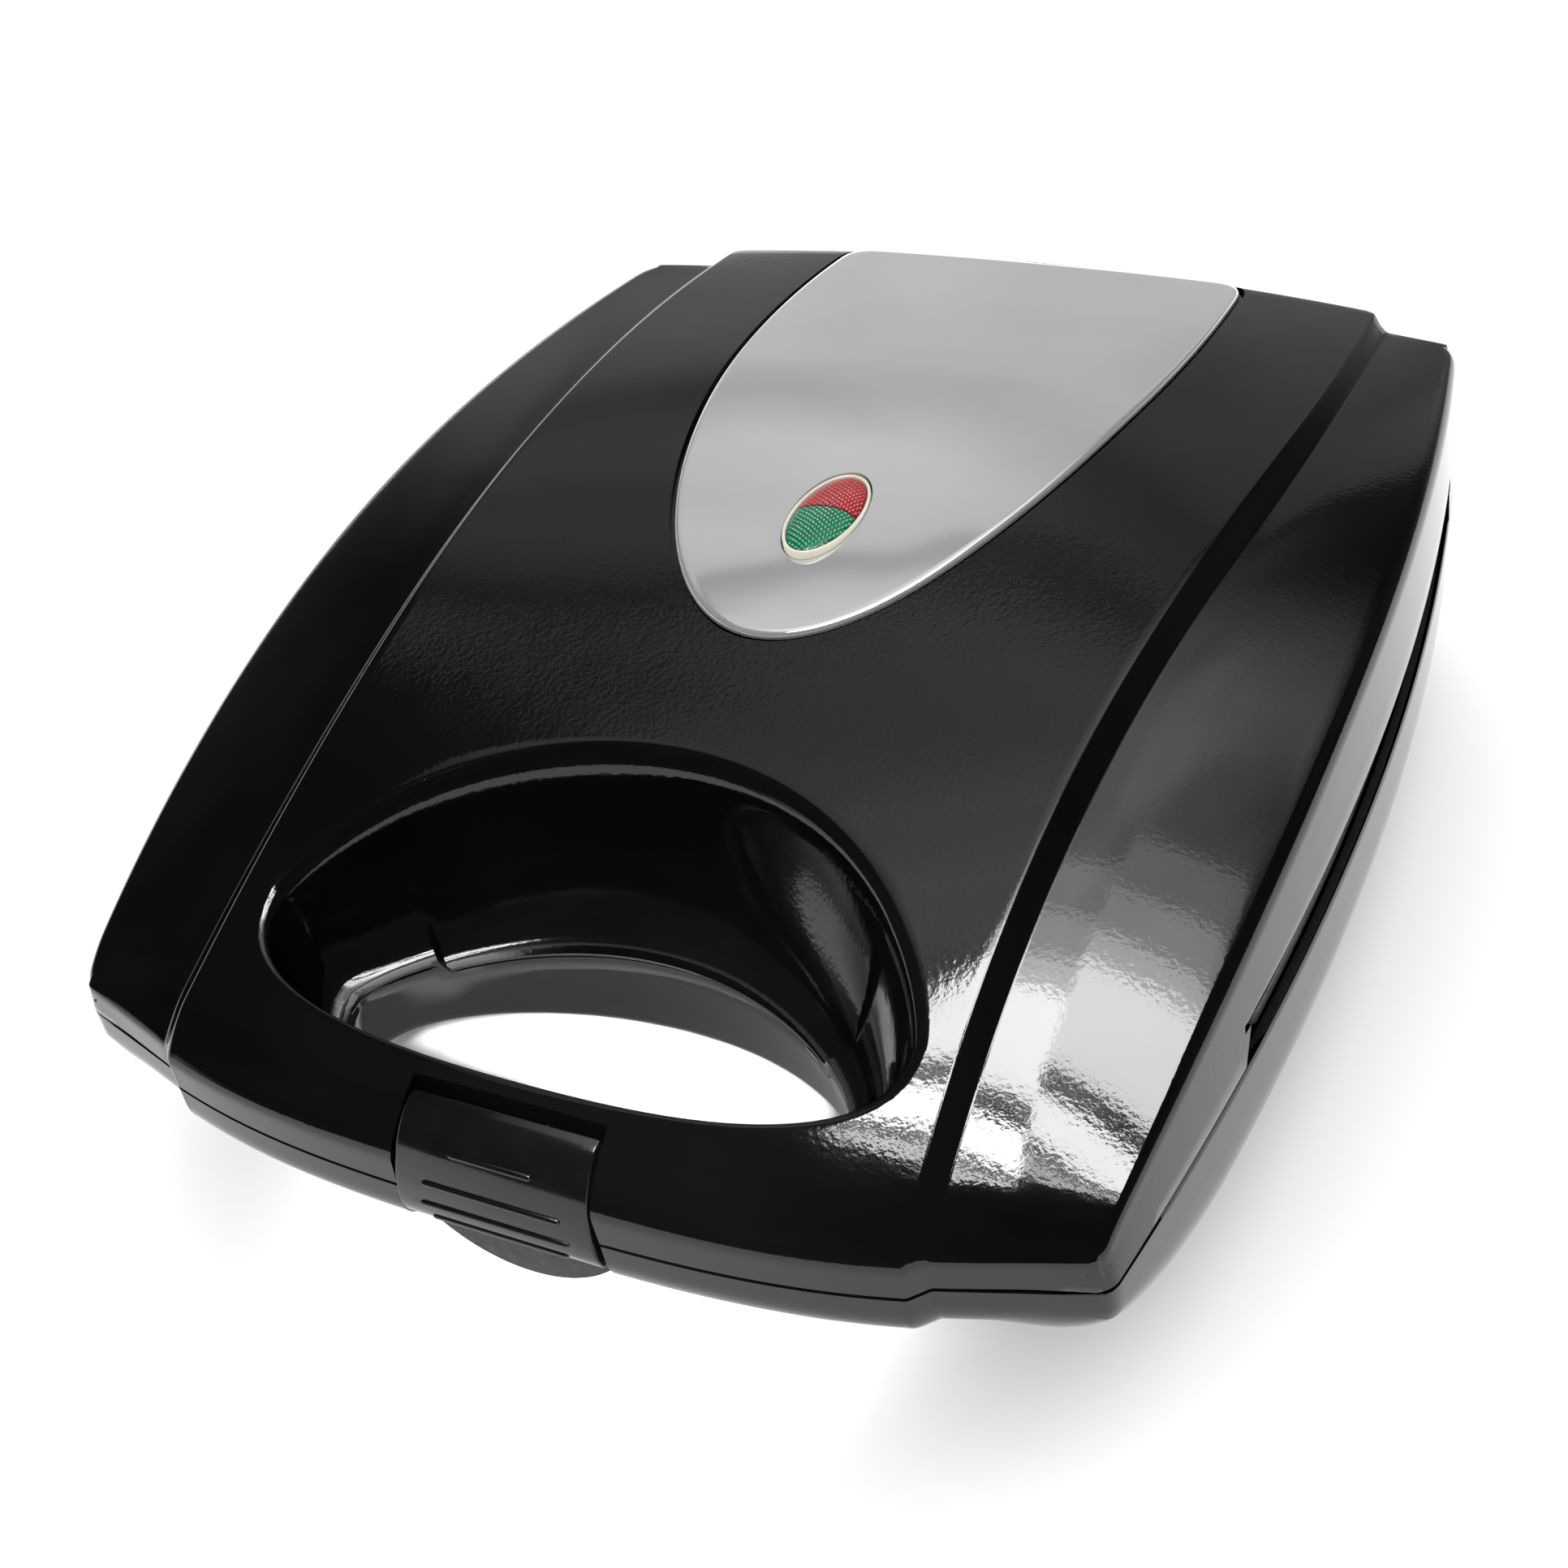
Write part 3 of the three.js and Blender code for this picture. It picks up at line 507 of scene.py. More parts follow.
def lower_casing():
    skin = Skin()
    cs, rs = columns(30, 15), rows(30, 30, 15)
    hole = hole_cells(cs, rs, **LOWER_HOLE)

    def height(x, y, _column):
        return lower_height(x, y)

    outline, gap = grid_with_hole(skin, cs, rs, height, hole, 0)
    wall_down(skin, outline[::-1], [(0.3, 0), (0.6, 0), (0.9, 0), (0.96, 0), (1, -0.3)], 0)
    last, angle = opening_patch(skin, gap[::-1], FINGER_PARTING, height, LOWER_RIM_OUT, 12)
    start = np.array([skin.points[i] for i in last])
    edge_x, edge_y = finger_point(FINGER_PARTING, angle, 1.8)
    floor = lower_height(edge_x, edge_y)
    corner = np.stack([edge_x, edge_y, floor], -1)
    wall_x, wall_y = finger_point(FINGER_PARTING, angle, LOWER_RIM_IN)
    end = np.stack([wall_x, wall_y, floor + LOWER_RIM_UP], -1)
    for t in np.linspace(0, 1, 7)[1:]:
        last = skin.extend(last, *bend(start, corner, end, t).T)
    for share in [0.25, 0.5, 0.75, 0.97, 1.0]:
        seam_lead = 0.3 if share == 1.0 else 0
        x, y = finger_point(FINGER_PARTING, angle, mix(LOWER_RIM_IN, 0, share) + seam_lead)
        last = skin.extend(last, x, y, mix(end[:, 2], parting_jog(x, y) - SEAM, share))
    return close_solid(skin, "base_casing")


# ---- Panel, lamp window, latch ----
def panel_outline(margin, count=220):
    """Evenly spaced points round the panel: an ellipse cut straight at the back, with rounded corners."""
    half, length, back = PANEL_HALF + margin, PANEL_LENGTH + margin, PANEL_BACK + margin
    radius = PANEL_CORNER + margin
    start = math.asin((back - radius - PANEL_CENTRE) / length)
    angles = np.linspace(math.pi - start, 2 * math.pi + start, 400)
    line = [(half * math.cos(a), PANEL_CENTRE + length * math.sin(a)) for a in angles]
    corner = line[-1]
    turn = [(corner[0] - 0.4, back), (corner[0] - radius, back)]
    corner, turn = np.array(corner), np.array(turn)
    curve = [tuple(bend(corner, *turn, t)) for t in np.linspace(0, 1, 12)[1:]]
    path = line + curve + [(-x, y) for x, y in reversed(curve)]
    path = np.array(path + [path[0]])
    lengths = np.concatenate([[0], np.cumsum(np.hypot(*np.diff(path, axis=0).T))])
    even = np.linspace(0, lengths[-1], count + 1)[:-1]
    return np.interp(even, lengths, path[:, 0]), np.interp(even, lengths, path[:, 1])


def panel_sheet(name, margin, below, above, edge=0.0):
    """A sheet over the top surface inside the panel's outline, with its upper edge rounded by edge mm."""
    x, y = panel_outline(margin)
    reach = y - PANEL_MIDDLE

    def ring(scale, inset, offset):
        px, py = x * scale, PANEL_MIDDLE + reach * scale
        if inset:
            size = np.hypot(x, reach * PANEL_TAPER)
            px, py = px - inset * x / size, py - inset * reach * PANEL_TAPER / size
        return np.stack([px, py, top_height(px, np.minimum(py, LENGTH)) + offset], -1)

    scales = list(np.linspace(0.03, 0.97, 26)) + [0.985]
    rings = [ring(s, 0, below) for s in scales] + [ring(1, 0, below)]
    if edge:
        for angle in np.linspace(0, math.pi / 2, 6)[:-1]:
            rings.append(ring(1, edge * (1 - math.cos(angle)), above - edge * (1 - math.sin(angle))))
    else:
        rings.append(ring(1, 0, above))
    rings += [ring(s, 0, above) for s in reversed(scales)]
    return loft(name, rings, sharp=50)


def oval_ring(long, wide, z, count=96):
    angles = np.linspace(0, 2 * math.pi, count, endpoint=False)
    return [(wide * math.cos(a), LAMP_Y + long * math.sin(a), z) for a in angles]


LAMP_TOP = float(top_height(0.0, float(LAMP_Y)))


def oval(name, grow):
    """A cutter through the top surface at the lamp window."""
    return loft(name, [oval_ring(LAMP_LONG + grow, LAMP_WIDE + grow, z) for z in (30, 60)])


def lens_bezel():
    section = [(0, -3.8), (0, 0.6), (-0.08, 0.9), (-0.25, 1.05), (-0.45, 1.08), (-0.65, 1.0), (-0.78, 0.75)]
    section.append((-0.8, -3.8))
    rings = [oval_ring(LAMP_LONG + d, LAMP_WIDE + d, LAMP_TOP + z) for d, z in section]
    return sleeve("lens_bezel_ring", rings, 50, closed=True)


def lens_dome(name):
    long, wide = LAMP_LONG - LAMP_RIM - 0.1, LAMP_WIDE - LAMP_RIM - 0.1
    rings = [oval_ring(long, wide, LAMP_TOP - 2.5)]
    for k in range(12):
        c, s = math.cos(math.pi / 2 * k / 12), math.sin(math.pi / 2 * k / 12)
        rings.append(oval_ring(long * c, wide * c, LAMP_TOP + 0.5 + 1.6 * s))
    return loft(name, rings, sharp=60)


def divider(radius):
    """The cylinder whose side parts the two lenses."""
    angles = np.linspace(0, 2 * math.pi, 180, endpoint=False)
    circle = [(radius * math.cos(a), DIVIDE_AT - DIVIDE_RADIUS + radius * math.sin(a)) for a in angles]
    return loft("divider", [[(x, y, z) for x, y in circle] for z in (25, 60)])


# ---- What the shells carry: latch pocket, hinge, slots ----
LATCH_PIVOT_Y, LATCH_PIVOT_Z, LATCH_BORE = 0.8, 9.5, 1.6
SPRING_ROOM, SPRING_ROOM_HALF = 3.1, 5.5
LATCH_TOP_HALF, LATCH_TAPER, LATCH_TOP = 18, 0.062, 15.1
POCKET_SIDE, POCKET_WALL = 0.7, 3.3
UPPER_POCKET_BACK, LOWER_POCKET_BACK = 4.8, 2.9
HINGE_X, HINGE_KNUCKLE, HINGE_EAR, HINGE_GAP = 55, 8, 5.4, 0.6
HINGE_BARREL, HINGE_BORE, HINGE_PIN, HINGE_HEAD = 4.85, 2.4, 2, 3.6
HINGE_ARM_FRONT = 263.4
SLOT_FRONT, SLOT_BACK, SLOT_TOP, SLOT_SLANT, SLOT_CORNER = 66, 230, 9, 5, 1.5
GLAND_Z = -11
FEET = [("front_left", -72, 114), ("front_right", 72, 114), ("rear_left", -72, 230), ("rear_right", 72, 230)]


def latch_half(z):
    return LATCH_TOP_HALF + LATCH_TAPER * (LATCH_TOP - z)


def pocket(ys, zs):
    rings = []
    for z in zs:
        half = latch_half(z) + POCKET_SIDE
        rings.append([(-half, ys[0], z), (half, ys[0], z), (half, ys[1], z), (-half, ys[1], z)])
    return loft("pocket", rings)


def block_between(name, xs, ys, low, high):
    """A closed block over a grid of x and y, between the heights that two functions give."""
    x, y = np.meshgrid(xs, ys)
    skin = Skin()
    over = np.array(skin.add(x, y, high(x, y))).reshape(x.shape)
    under = np.array(skin.add(x, y, low(x, y))).reshape(x.shape)
    for grid in (over, under):
        skin.cover(grid)
    border = 0, len(xs) - 1, 0, len(ys) - 1
    skin.bridge(grid_loop(over, *border), grid_loop(under, *border))
    return tidy(make_object(name, skin.points, skin.faces))


def pocket_liner(low, high, back):
    half = latch_half(0) + POCKET_WALL
    return block_between("liner", np.linspace(-half, half, 13), np.linspace(-4.9, back, 9), low, high)


def gathered(name, pieces):
    """One object that holds the meshes of several pieces."""
    mesh = bmesh.new()
    for piece in pieces:
        mesh.from_mesh(piece.data)
    data = bpy.data.meshes.new(name)
    mesh.to_mesh(data)
    mesh.free()
    for piece in pieces:
        bpy.data.objects.remove(piece)
    return linked(name, data)


def bar(radius, ends, centre, axis="x", edge=0.0, sides=48):
    """A solid round bar along an axis, with its end edges turned off by edge mm."""
    low, high = ends
    profile = [(0, low), (radius - edge, low), (radius, low + edge), (radius, high - edge)]
    profile += [(radius - edge, high), (0, high)]
    return turned("bar", profile, centre, axis, sides)


def hinge_barrels(spans, arm):
    """Barrels and the arms that hold them; spans are measured outwards from the middle of each hinge."""
    pieces = []
    for side in (-1, 1):
        for low, high in spans:
            ends = sorted((side * HINGE_X + low, side * HINGE_X + high))
            barrel = bar(HINGE_BARREL, ends, (0, HINGE_Y, 0), edge=0.5)
            block = bevelled(box("arm", ends, (HINGE_ARM_FRONT, HINGE_Y), arm), 0.4, 2)
            pieces.append(carve(barrel, block, operation="UNION"))
    return pieces


def hinge_bore():
    return bar(HINGE_BORE, (-80, 80), (0, HINGE_Y, 0))


def latch_bore():
    return bar(LATCH_BORE, (-30, 30), (0, LATCH_PIVOT_Y, LATCH_PIVOT_Z))


def slot_cutter(side):
    """The air slot in the lid's side wall; its front end slants."""
    rings = []
    for x in (100, 120):
        outline = [(SLOT_FRONT - SLOT_SLANT, -2), (SLOT_BACK, -2), (SLOT_BACK, SLOT_TOP - SLOT_CORNER)]
        outline += [(SLOT_BACK - SLOT_CORNER, SLOT_TOP), (SLOT_FRONT, SLOT_TOP)]
        rings.append([(side * x, y, z) for y, z in outline])
    return loft("slot", rings)


def slot_lead_in(side):
    """The shallow bevel along the wall above the air slot."""
    rings = []
    for y in np.linspace(SLOT_FRONT - 3, SLOT_BACK + 2, 50):
        wall, low, high = float(side_half(y)), SLOT_TOP - 1, SLOT_TOP + 3
        section = [(wall + 2, low), (wall - 1.05, low), (wall - 0.25, high), (wall + 2, high)]
        rings.append([(side * x, y, z) for x, z in section])
    return loft("lead_in", rings)


def lid_casing():
    casing = upper_casing()
    liner = pocket_liner(lambda x, y: 0 * x + SEAM + 0.1, lambda x, y: upper_height(x, y) - 1.2, 7.6)
    knuckles = hinge_barrels([(-HINGE_KNUCKLE, HINGE_KNUCKLE)], (0.6, 6))
    carve(casing, gathered("added", [liner, *knuckles]), operation="UNION")
    carve(casing, gathered("first_cuts", [
        pocket((-20, UPPER_POCKET_BACK), (-2, 30)),
        panel_sheet("recess", PANEL_MARGIN, -1, 8),
        slot_lead_in(-1),
        slot_lead_in(1),
        hinge_bore(),
    ]))
    second = [oval("window", 0.4), slot_cutter(-1), slot_cutter(1), latch_bore()]
    carve(casing, gathered("second_cuts", second))
    return tidy(casing, merge=CUT_MERGE)


def base_casing():
    casing = lower_casing()
    liner = pocket_liner(lambda x, y: lower_height(x, y) + 1.2, lambda x, y: 0 * x - SEAM - 0.1, 5.7)
    near = HINGE_KNUCKLE + HINGE_GAP
    far = near + HINGE_EAR
    ears = hinge_barrels([(-far, -near), (near, far)], (-9, -1))
    carve(casing, gathered("added", [liner, *ears]), operation="UNION")
    stems = [bar(3.4, (-50, -30), (x, y, 0), "z") for _, x, y in FEET]
    carve(casing, gathered("cuts", [
        pocket((-20, LOWER_POCKET_BACK), (-30, 2)),
        bar(6.4, (255, 280), (0, 0, GLAND_Z), "y"),
        hinge_bore(),
        *stems,
    ]))
    return tidy(casing, merge=CUT_MERGE)


# ---- Latch and catch ----
LATCH_FACE = [(3.1, 15.1), (0.6, 14.7), (-2.2, 12.8), (-4.9, 9.2), (-6.7, 4.4), (-7.3, 0), (-7.1, -3.6)]
LATCH_FACE.append((-6.1, -6.3))
LATCH_HOOK = [(-3.6, -6.3), (-2.7, -5.4), (-3.4, -4.6), (-4.9, -4.4), (-5.0, 2), (-3.6, 6.2), (3.1, 6.6)]
GRIP_RIBS = [(10, 8, -4.3), (3.8, 13.3, -6.7), (-1, 14.4, -7.1), (-4.7, 13.3, -6.5)]
RIB_RADIUS = 0.65
CATCH_RADIUS, CATCH_CENTRE, CATCH_HALF = 23.5, 3.5, 17.2


def spline(points, steps):
    """Points of a smooth curve through the given ones."""
    points = [np.array(point, float) for point in points]
    ends = [2 * points[0] - points[1], *points, 2 * points[-1] - points[-2]]
    curve = []
    for a, b, c, d in zip(ends, ends[1:], ends[2:], ends[3:]):
        for t in np.arange(steps) / steps:
            linear, square = (c - a) * t, (2 * a - 5 * b + 4 * c - d) * t ** 2
            cube = (3 * b - a - 3 * c + d) * t ** 3
            curve.append(tuple(b + 0.5 * (linear + square + cube)))
    return [*curve, tuple(points[-1])]


def grip_rib(z, half, y):
    end = [(0, 0), (0.45, 0.06), (0.8, 0.25), (1, 0.65)]
    profile = [(share * RIB_RADIUS, inset - half) for share, inset in end]
    profile += [(radius, -reach) for radius, reach in reversed(profile)]
    return turned("rib", profile, (0, y - 0.1, z), "x", 24)


def latch_lever():
    outline = spline(LATCH_FACE, 5) + LATCH_HOOK
    rings = [[(side * latch_half(z), y, z) for y, z in outline] for side in (-1, 1)]
    lever = bevelled(loft("latch_lever", rings), 0.5, 3, 50)
    carve(lever, gathered("ribs", [grip_rib(*rib) for rib in GRIP_RIBS]), operation="UNION")
    across = -SPRING_ROOM_HALF, SPRING_ROOM_HALF
    spring_room = bar(SPRING_ROOM, across, (0, LATCH_PIVOT_Y, LATCH_PIVOT_Z))
    heights = LATCH_PIVOT_Z - SPRING_ROOM, LATCH_PIVOT_Z + SPRING_ROOM
    way_in = box("way_in", across, (LATCH_PIVOT_Y, 6), heights)
    carve(lever, carve(spring_room, way_in, operation="UNION"))
    carve(lever, latch_bore())
    return tidy(lever, 30)


def latch_catch():
    reach = math.asin(CATCH_HALF / CATCH_RADIUS)
    outline = []
    for angle in np.linspace(-reach, reach, 33):
        outline.append((CATCH_RADIUS * math.sin(angle), CATCH_CENTRE - CATCH_RADIUS * math.cos(angle)))
    outline += [(CATCH_HALF, -1), (-CATCH_HALF, -1)]
    plate = loft("catch_plate", [[(x, y, z) for x, z in outline] for y in (-2.2, 2.5)])
    plate = bevelled(plate, 0.5, 3, 50)
    return tidy(carve(plate, box("ledge", (-16, 16), (-4, -0.8), (-7.6, -4))), 30)


# ---- Panel and lamp window ----
def top_panel():
    sheet = panel_sheet("panel_sheet", 0, -PANEL_SUNK, PANEL_PROUD, edge=0.9)
    return tidy(carve(sheet, oval("hole", 0.3)), 40)


def lens(name, operation, gap):
    return tidy(carve(lens_dome(name), divider(DIVIDE_RADIUS + gap), operation=operation), 40)


# ---- Cooking plates, built face up at the contact plane ----
PLATE_FRONT, PLATE_BACK, PLATE_INSET, PLATE_THICK, PLATE_CHAMFER = 70, 240, 3.4, 3.8, 6
PLATE_EDGE_X, PLATE_EDGE_Y = 98, 84.4
CONTACT, CONTACT_GAP = 1, 0.2
RING_RADIUS, RING_HOLE, RING_DEPTH, RING_WALL = 27, 8, 13, 2.5
RINGS = [(x, y) for y in (115, 195) for x in (-62, 0, 62)]
SCREWS = [(-92, 78), (92, 78), (-92, 230), (92, 230)]


def ring_section(grow, lip):
    """The section of a ring mould: half an ellipse, with a rounded lip where it meets the plate's face."""
    middle, width = (RING_RADIUS + RING_HOLE) / 2, (RING_RADIUS - RING_HOLE) / 2 + grow
    depth = RING_DEPTH + grow
    bowl = [(middle + width * math.cos(a), -depth * math.sin(a)) for a in np.linspace(0.1, math.pi - 0.1, 25)]
    if lip:
        flare = [(width + lip, 1), (width + lip, 0), (width + 0.4 * lip, -0.25 * lip)]
        bowl = [(middle + w, z) for w, z in flare] + bowl + [(middle - w, z) for w, z in reversed(flare)]
    else:
        bowl = [(middle + width, -1)] + bowl + [(middle - width, -1)]
    return [*bowl, bowl[0]]


def cooking_plate():
    edge = np.linspace(PLATE_FRONT + PLATE_CHAMFER, PLATE_BACK - PLATE_CHAMFER, 30)
    side = [(float(side_half(y)) - PLATE_INSET, y) for y in edge]
    right = [(side[0][0] - PLATE_CHAMFER, PLATE_FRONT), *side, (side[-1][0] - PLATE_CHAMFER, PLATE_BACK)]
    outline = right + [(-x, y) for x, y in reversed(right)]
    plate = loft("plate", [[(x, y, z) for x, y in outline] for z in (-PLATE_THICK, 0)])
    plate = bevelled(plate, 0.6, 3, 60)
    backs = [turned("back", ring_section(RING_WALL, 0), (x, y, 0), sides=72) for x, y in RINGS]
    carve(plate, gathered("backs", backs), operation="UNION")
    moulds = [turned("mould", ring_section(0, 0.9), (x, y, 0), sides=72) for x, y in RINGS]
    seats = []
    for x, y in SCREWS:
        profile = [(0, -10), (1.8, -10), (1.8, -2.2), (4.3, -2.2), (4.3, -0.4), (4.7, 0), (4.7, 5), (0, 5)]
        seats.append(turned("seat", profile, (x, y, 0)))
    return tidy(carve(plate, gathered("moulds", moulds + seats)), 35)


def pan_screw():
    head = [(3.8, -1.9), (3.8, -1.5), (3.6, -1.05), (3, -0.65), (1.8, -0.45), (0, -0.4)]
    screw = turned("screw", [(0, -15), (1.3, -14), (1.3, -1.9), *head], (0, 0, 0))
    long, narrow = (-1.9, 1.9), (-0.4, 0.4)
    carve(screw, box("cross", long, narrow, (-1.4, 1)))
    return carve(screw, box("cross", narrow, long, (-1.4, 1)))


def copied(source, name, matrix):
    """A copy of a mesh moved by a matrix in shell millimetres."""
    data = source.data.copy()
    to_shell = Matrix.Scale(1 / MM, 4) @ Matrix.Translation(-ORIGIN)
    data.transform(to_shell.inverted() @ matrix @ to_shell)
    return linked(name, data)


# ---- Small pieces of the base ----
def foot(name, x, y):
    profile = [(0, -45.1), (4.4, -45.1), (5, -45.9), (5.6, -46), (7.1, -46), (7.7, -45.7), (8, -45)]
    profile += [(7.7, -41), (7.2, -40.4), (3, -40.4), (3, -36.5), (2.5, -36), (0, -36)]
    return turned(name, profile, (x, y, 0))


def hinge_pin(name, side):
    reach = HINGE_KNUCKLE + HINGE_EAR + HINGE_GAP
    start, end = side * HINGE_X - reach, side * HINGE_X + reach
    profile = [(0, start), (HINGE_PIN - 0.4, start), (HINGE_PIN, start + 0.4), (HINGE_PIN, end + 0.4)]
    profile += [(HINGE_HEAD, end + 0.4), (HINGE_HEAD, end + 1), (HINGE_HEAD - 0.7, end + 1.6)]
    profile += [(HINGE_HEAD - 2, end + 1.8), (0, end + 1.8)]
    return turned(name, profile, (0, HINGE_Y, 0), "x")


def cord_gland():
    profile = [(3.6, 262), (6, 262), (6, 268), (8.1, 268), (8.4, 268.3), (8.2, 270), (7.6, 270.6)]
    profile += [(4.2, 270.6), (3.8, 270.4), (3.6, 270), (3.6, 262)]
    return turned("gland", profile, (0, 0, GLAND_Z), "y")


# ---- Materials ----
def add_node(tree, kind, inputs, **settings):
    """A shader node; each input takes a value or the output of another node."""
    made = tree.nodes.new("ShaderNode" + kind)
    assign(made, settings)
    for socket, value in inputs.items():
        if isinstance(value, bpy.types.NodeSocket):
            tree.links.new(value, made.inputs[socket])
        else:
            made.inputs[socket].default_value = value
    return made


class Look:
    """A node material: texture coordinates, noise, ramps and bump feed one Principled shader."""

    def __init__(self, name, **sockets):
        self.name = name
        self.material = bpy.data.materials.new(name)
        self.material.use_nodes = True
        self.tree = self.material.node_tree
        self.shader = self.tree.nodes["Principled BSDF"]
        for socket, value in sockets.items():
            self.shader.inputs[socket.replace("_", " ")].default_value = value
        self.place = self.node("TexCoord").outputs["Object"]

    def node(self, kind, inputs={}, **settings):
        return add_node(self.tree, kind, inputs, **settings)

    def feed(self, socket, output):
        self.tree.links.new(output, self.shader.inputs[socket])
        return self

    def noise(self, scale, detail=2.0, roughness=0.5, stretch=(1, 1, 1)):
        """Noise between 0 and 1; scale is in features a metre."""
        place = self.node("Mapping", {"Vector": self.place, "Scale": stretch}).outputs["Vector"]
        inputs = {"Vector": place, "Scale": scale, "Detail": detail, "Roughness": roughness}
        return self.node("TexNoise", inputs).outputs["Fac"]

    def colours(self, value, dark, bright):
        made = self.node("ValToRGB", {"Fac": value})
        for element, place, colour in zip(made.color_ramp.elements, MIDDLE_TONES, (dark, bright)):
            element.position, element.color = place, (*colour, 1)
        return self.feed("Base Color", made.outputs["Color"])

    def rough(self, value, low, high):
        inputs = {"Value": value, "To Min": low, "To Max": high}
        inputs["From Min"], inputs["From Max"] = MIDDLE_TONES
        return self.feed("Roughness", self.node("MapRange", inputs).outputs["Result"])

    def bump(self, value, height):
        """Relief from a value between 0 and 1; height is in micrometres."""
        made = self.node("Bump", {"Strength": 1, "Distance": height * 1e-6, "Height": value})
        for under in self.shader.inputs["Normal"].links:
            self.tree.links.new(under.from_socket, made.inputs["Normal"])
        return self.feed("Normal", made.outputs["Normal"])


# Noise stays mostly between these values, so colours and roughness spread over them.
MIDDLE_TONES = 0.3, 0.7
LENS_RIB_TURNS = 28, -58
LENS_RIBS = {"Scale": 330, "Distortion": 1.6, "Detail": 1.5, "Detail Scale": 1.2}


def prismatic_lens(name, deep, bright):
    """Clear coloured plastic over a crossed pattern of fine ribs."""
    look = Look(name, IOR=1.49, Coat_Weight=0.2, Coat_Roughness=0.03)
    ribs = []
    for turn in LENS_RIB_TURNS:
        mapping = look.node("Mapping", {"Vector": look.place, "Rotation": (0, 0, math.radians(turn))})
        wave = look.node("TexWave", {"Vector": mapping.outputs["Vector"], **LENS_RIBS})
        ribs.append(wave.outputs["Fac"])
    relief = look.node("Math", dict(enumerate(ribs)), operation="MULTIPLY").outputs["Value"]
    look.colours(relief, deep, bright)
    look.rough(look.noise(400, 3), 0.12, 0.25)
    return look.bump(relief, 220)


def grained(name, tones, rough, bump, **sockets):
    """Each part of the look is a noise (scale, detail) and its two tones, two roughnesses or height."""
    look = Look(name, **sockets)
    look.colours(look.noise(*tones[:2]), *tones[2:])
    look.rough(look.noise(*rough[:2]), *rough[2:])
    return look.bump(look.noise(*bump[:2]), bump[2])


def metal(name, dark, bright, roughness, scale=400, stretch=(1, 1, 1), height=4):
    look = Look(name, Metallic=1)
    grain = look.noise(scale, 4, 0.6, stretch)
    look.colours(grain, dark, bright)
    look.rough(grain, roughness, roughness + 0.12)
    return look.bump(grain, height)


def dull(name, dark, bright, roughness, scale=500, height=20, **sockets):
    rough = scale * 1.6, 3, roughness, roughness + 0.15
    return grained(name, (scale, 5, dark, bright), rough, (scale * 4, 3, height), **sockets)


LOOKS = {look.name: look for look in (
    # Polished plastic with a fine orange peel; faint moulding waves are added below.
    grained("gloss_black", (35, 4, (0.0006, 0.0006, 0.0006), (0.0011, 0.0011, 0.0012)),
            (60, 3, 0.05, 0.085), (950, 2, 15), IOR=1.5),
    grained("latch_black", (160, 4, (0.0009, 0.0009, 0.001), (0.0016, 0.0016, 0.0017)),
            (220, 3, 0.11, 0.15), (1500, 2, 8), IOR=1.5),
    grained("matte_black", (300, 5, (0.004, 0.0048, 0.0044), (0.007, 0.008, 0.0072)),
            (500, 3, 0.48, 0.62), (2600, 3, 14), IOR=1.48),
    # An even satin finish over slow waves from pressing.
    grained("stainless", (40, 2, (0.66, 0.663, 0.666), (0.68, 0.683, 0.686)),
            (30, 2, 0.045, 0.06), (26, 1, 170), Metallic=0.75),
    grained("cream_plastic", (260, 3, (0.56, 0.53, 0.44), (0.6, 0.57, 0.49)),
            (300, 3, 0.3, 0.42), (1800, 2, 6), Subsurface_Weight=0.06, Subsurface_Scale=0.001),
    prismatic_lens("red_lens", (0.2, 0.0, 0.003), (0.7, 0.012, 0.02)),
    prismatic_lens("green_lens", (0.0, 0.08, 0.03), (0.0, 0.46, 0.2)),
    grained("nonstick", (700, 5, (0.012, 0.013, 0.0125), (0.022, 0.024, 0.023)),
            (400, 4, 0.34, 0.46), (3200, 3, 16), Metallic=0.1, IOR=1.4),
    # The bare cast edge of a cooking plate, a greenish grey.
    grained("plate_edge", (900, 5, (0.14, 0.155, 0.14), (0.24, 0.26, 0.235)),
            (700, 4, 0.45, 0.6), (2400, 4, 30), Metallic=0.4),
    metal("element_sheath", (0.16, 0.15, 0.14), (0.27, 0.25, 0.23), 0.42),
    metal("reflector_sheet", (0.55, 0.56, 0.57), (0.66, 0.67, 0.68), 0.26, 260, (0.05, 1, 1)),
    metal("zinc_steel", (0.5, 0.5, 0.49), (0.66, 0.65, 0.6), 0.3, 900),
    dull("gland_rubber", (0.01, 0.01, 0.01), (0.018, 0.018, 0.018), 0.6),
    dull("foot_rubber", (0.012, 0.012, 0.012), (0.024, 0.024, 0.023), 0.7, 700, 40),
    dull("ceramic", (0.66, 0.62, 0.55), (0.8, 0.77, 0.7), 0.4, 300, 12),
    dull("glass_sleeve", (0.55, 0.52, 0.44), (0.74, 0.71, 0.63), 0.7, 900, 60),
    dull("neon_glass", (0.7, 0.5, 0.36), (0.86, 0.68, 0.5), 0.05, 200, 2, Coat_Weight=0.5),
)}
LOOKS["gloss_black"].bump(LOOKS["gloss_black"].noise(95, 1), 16)


# ---- Assembly ----
def paint(thing, look):
    thing.data.materials.clear()
    thing.data.materials.append(look.material)


def mount(thing, body, slot, *nodes, name=None):
    """Rides a finished piece on a body in place of the nodes it stands for."""
    if name:
        thing.name = thing.data.name = name
    paint(thing, LOOKS[slot])
    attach(thing, body)
    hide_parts(*nodes)
    return thing


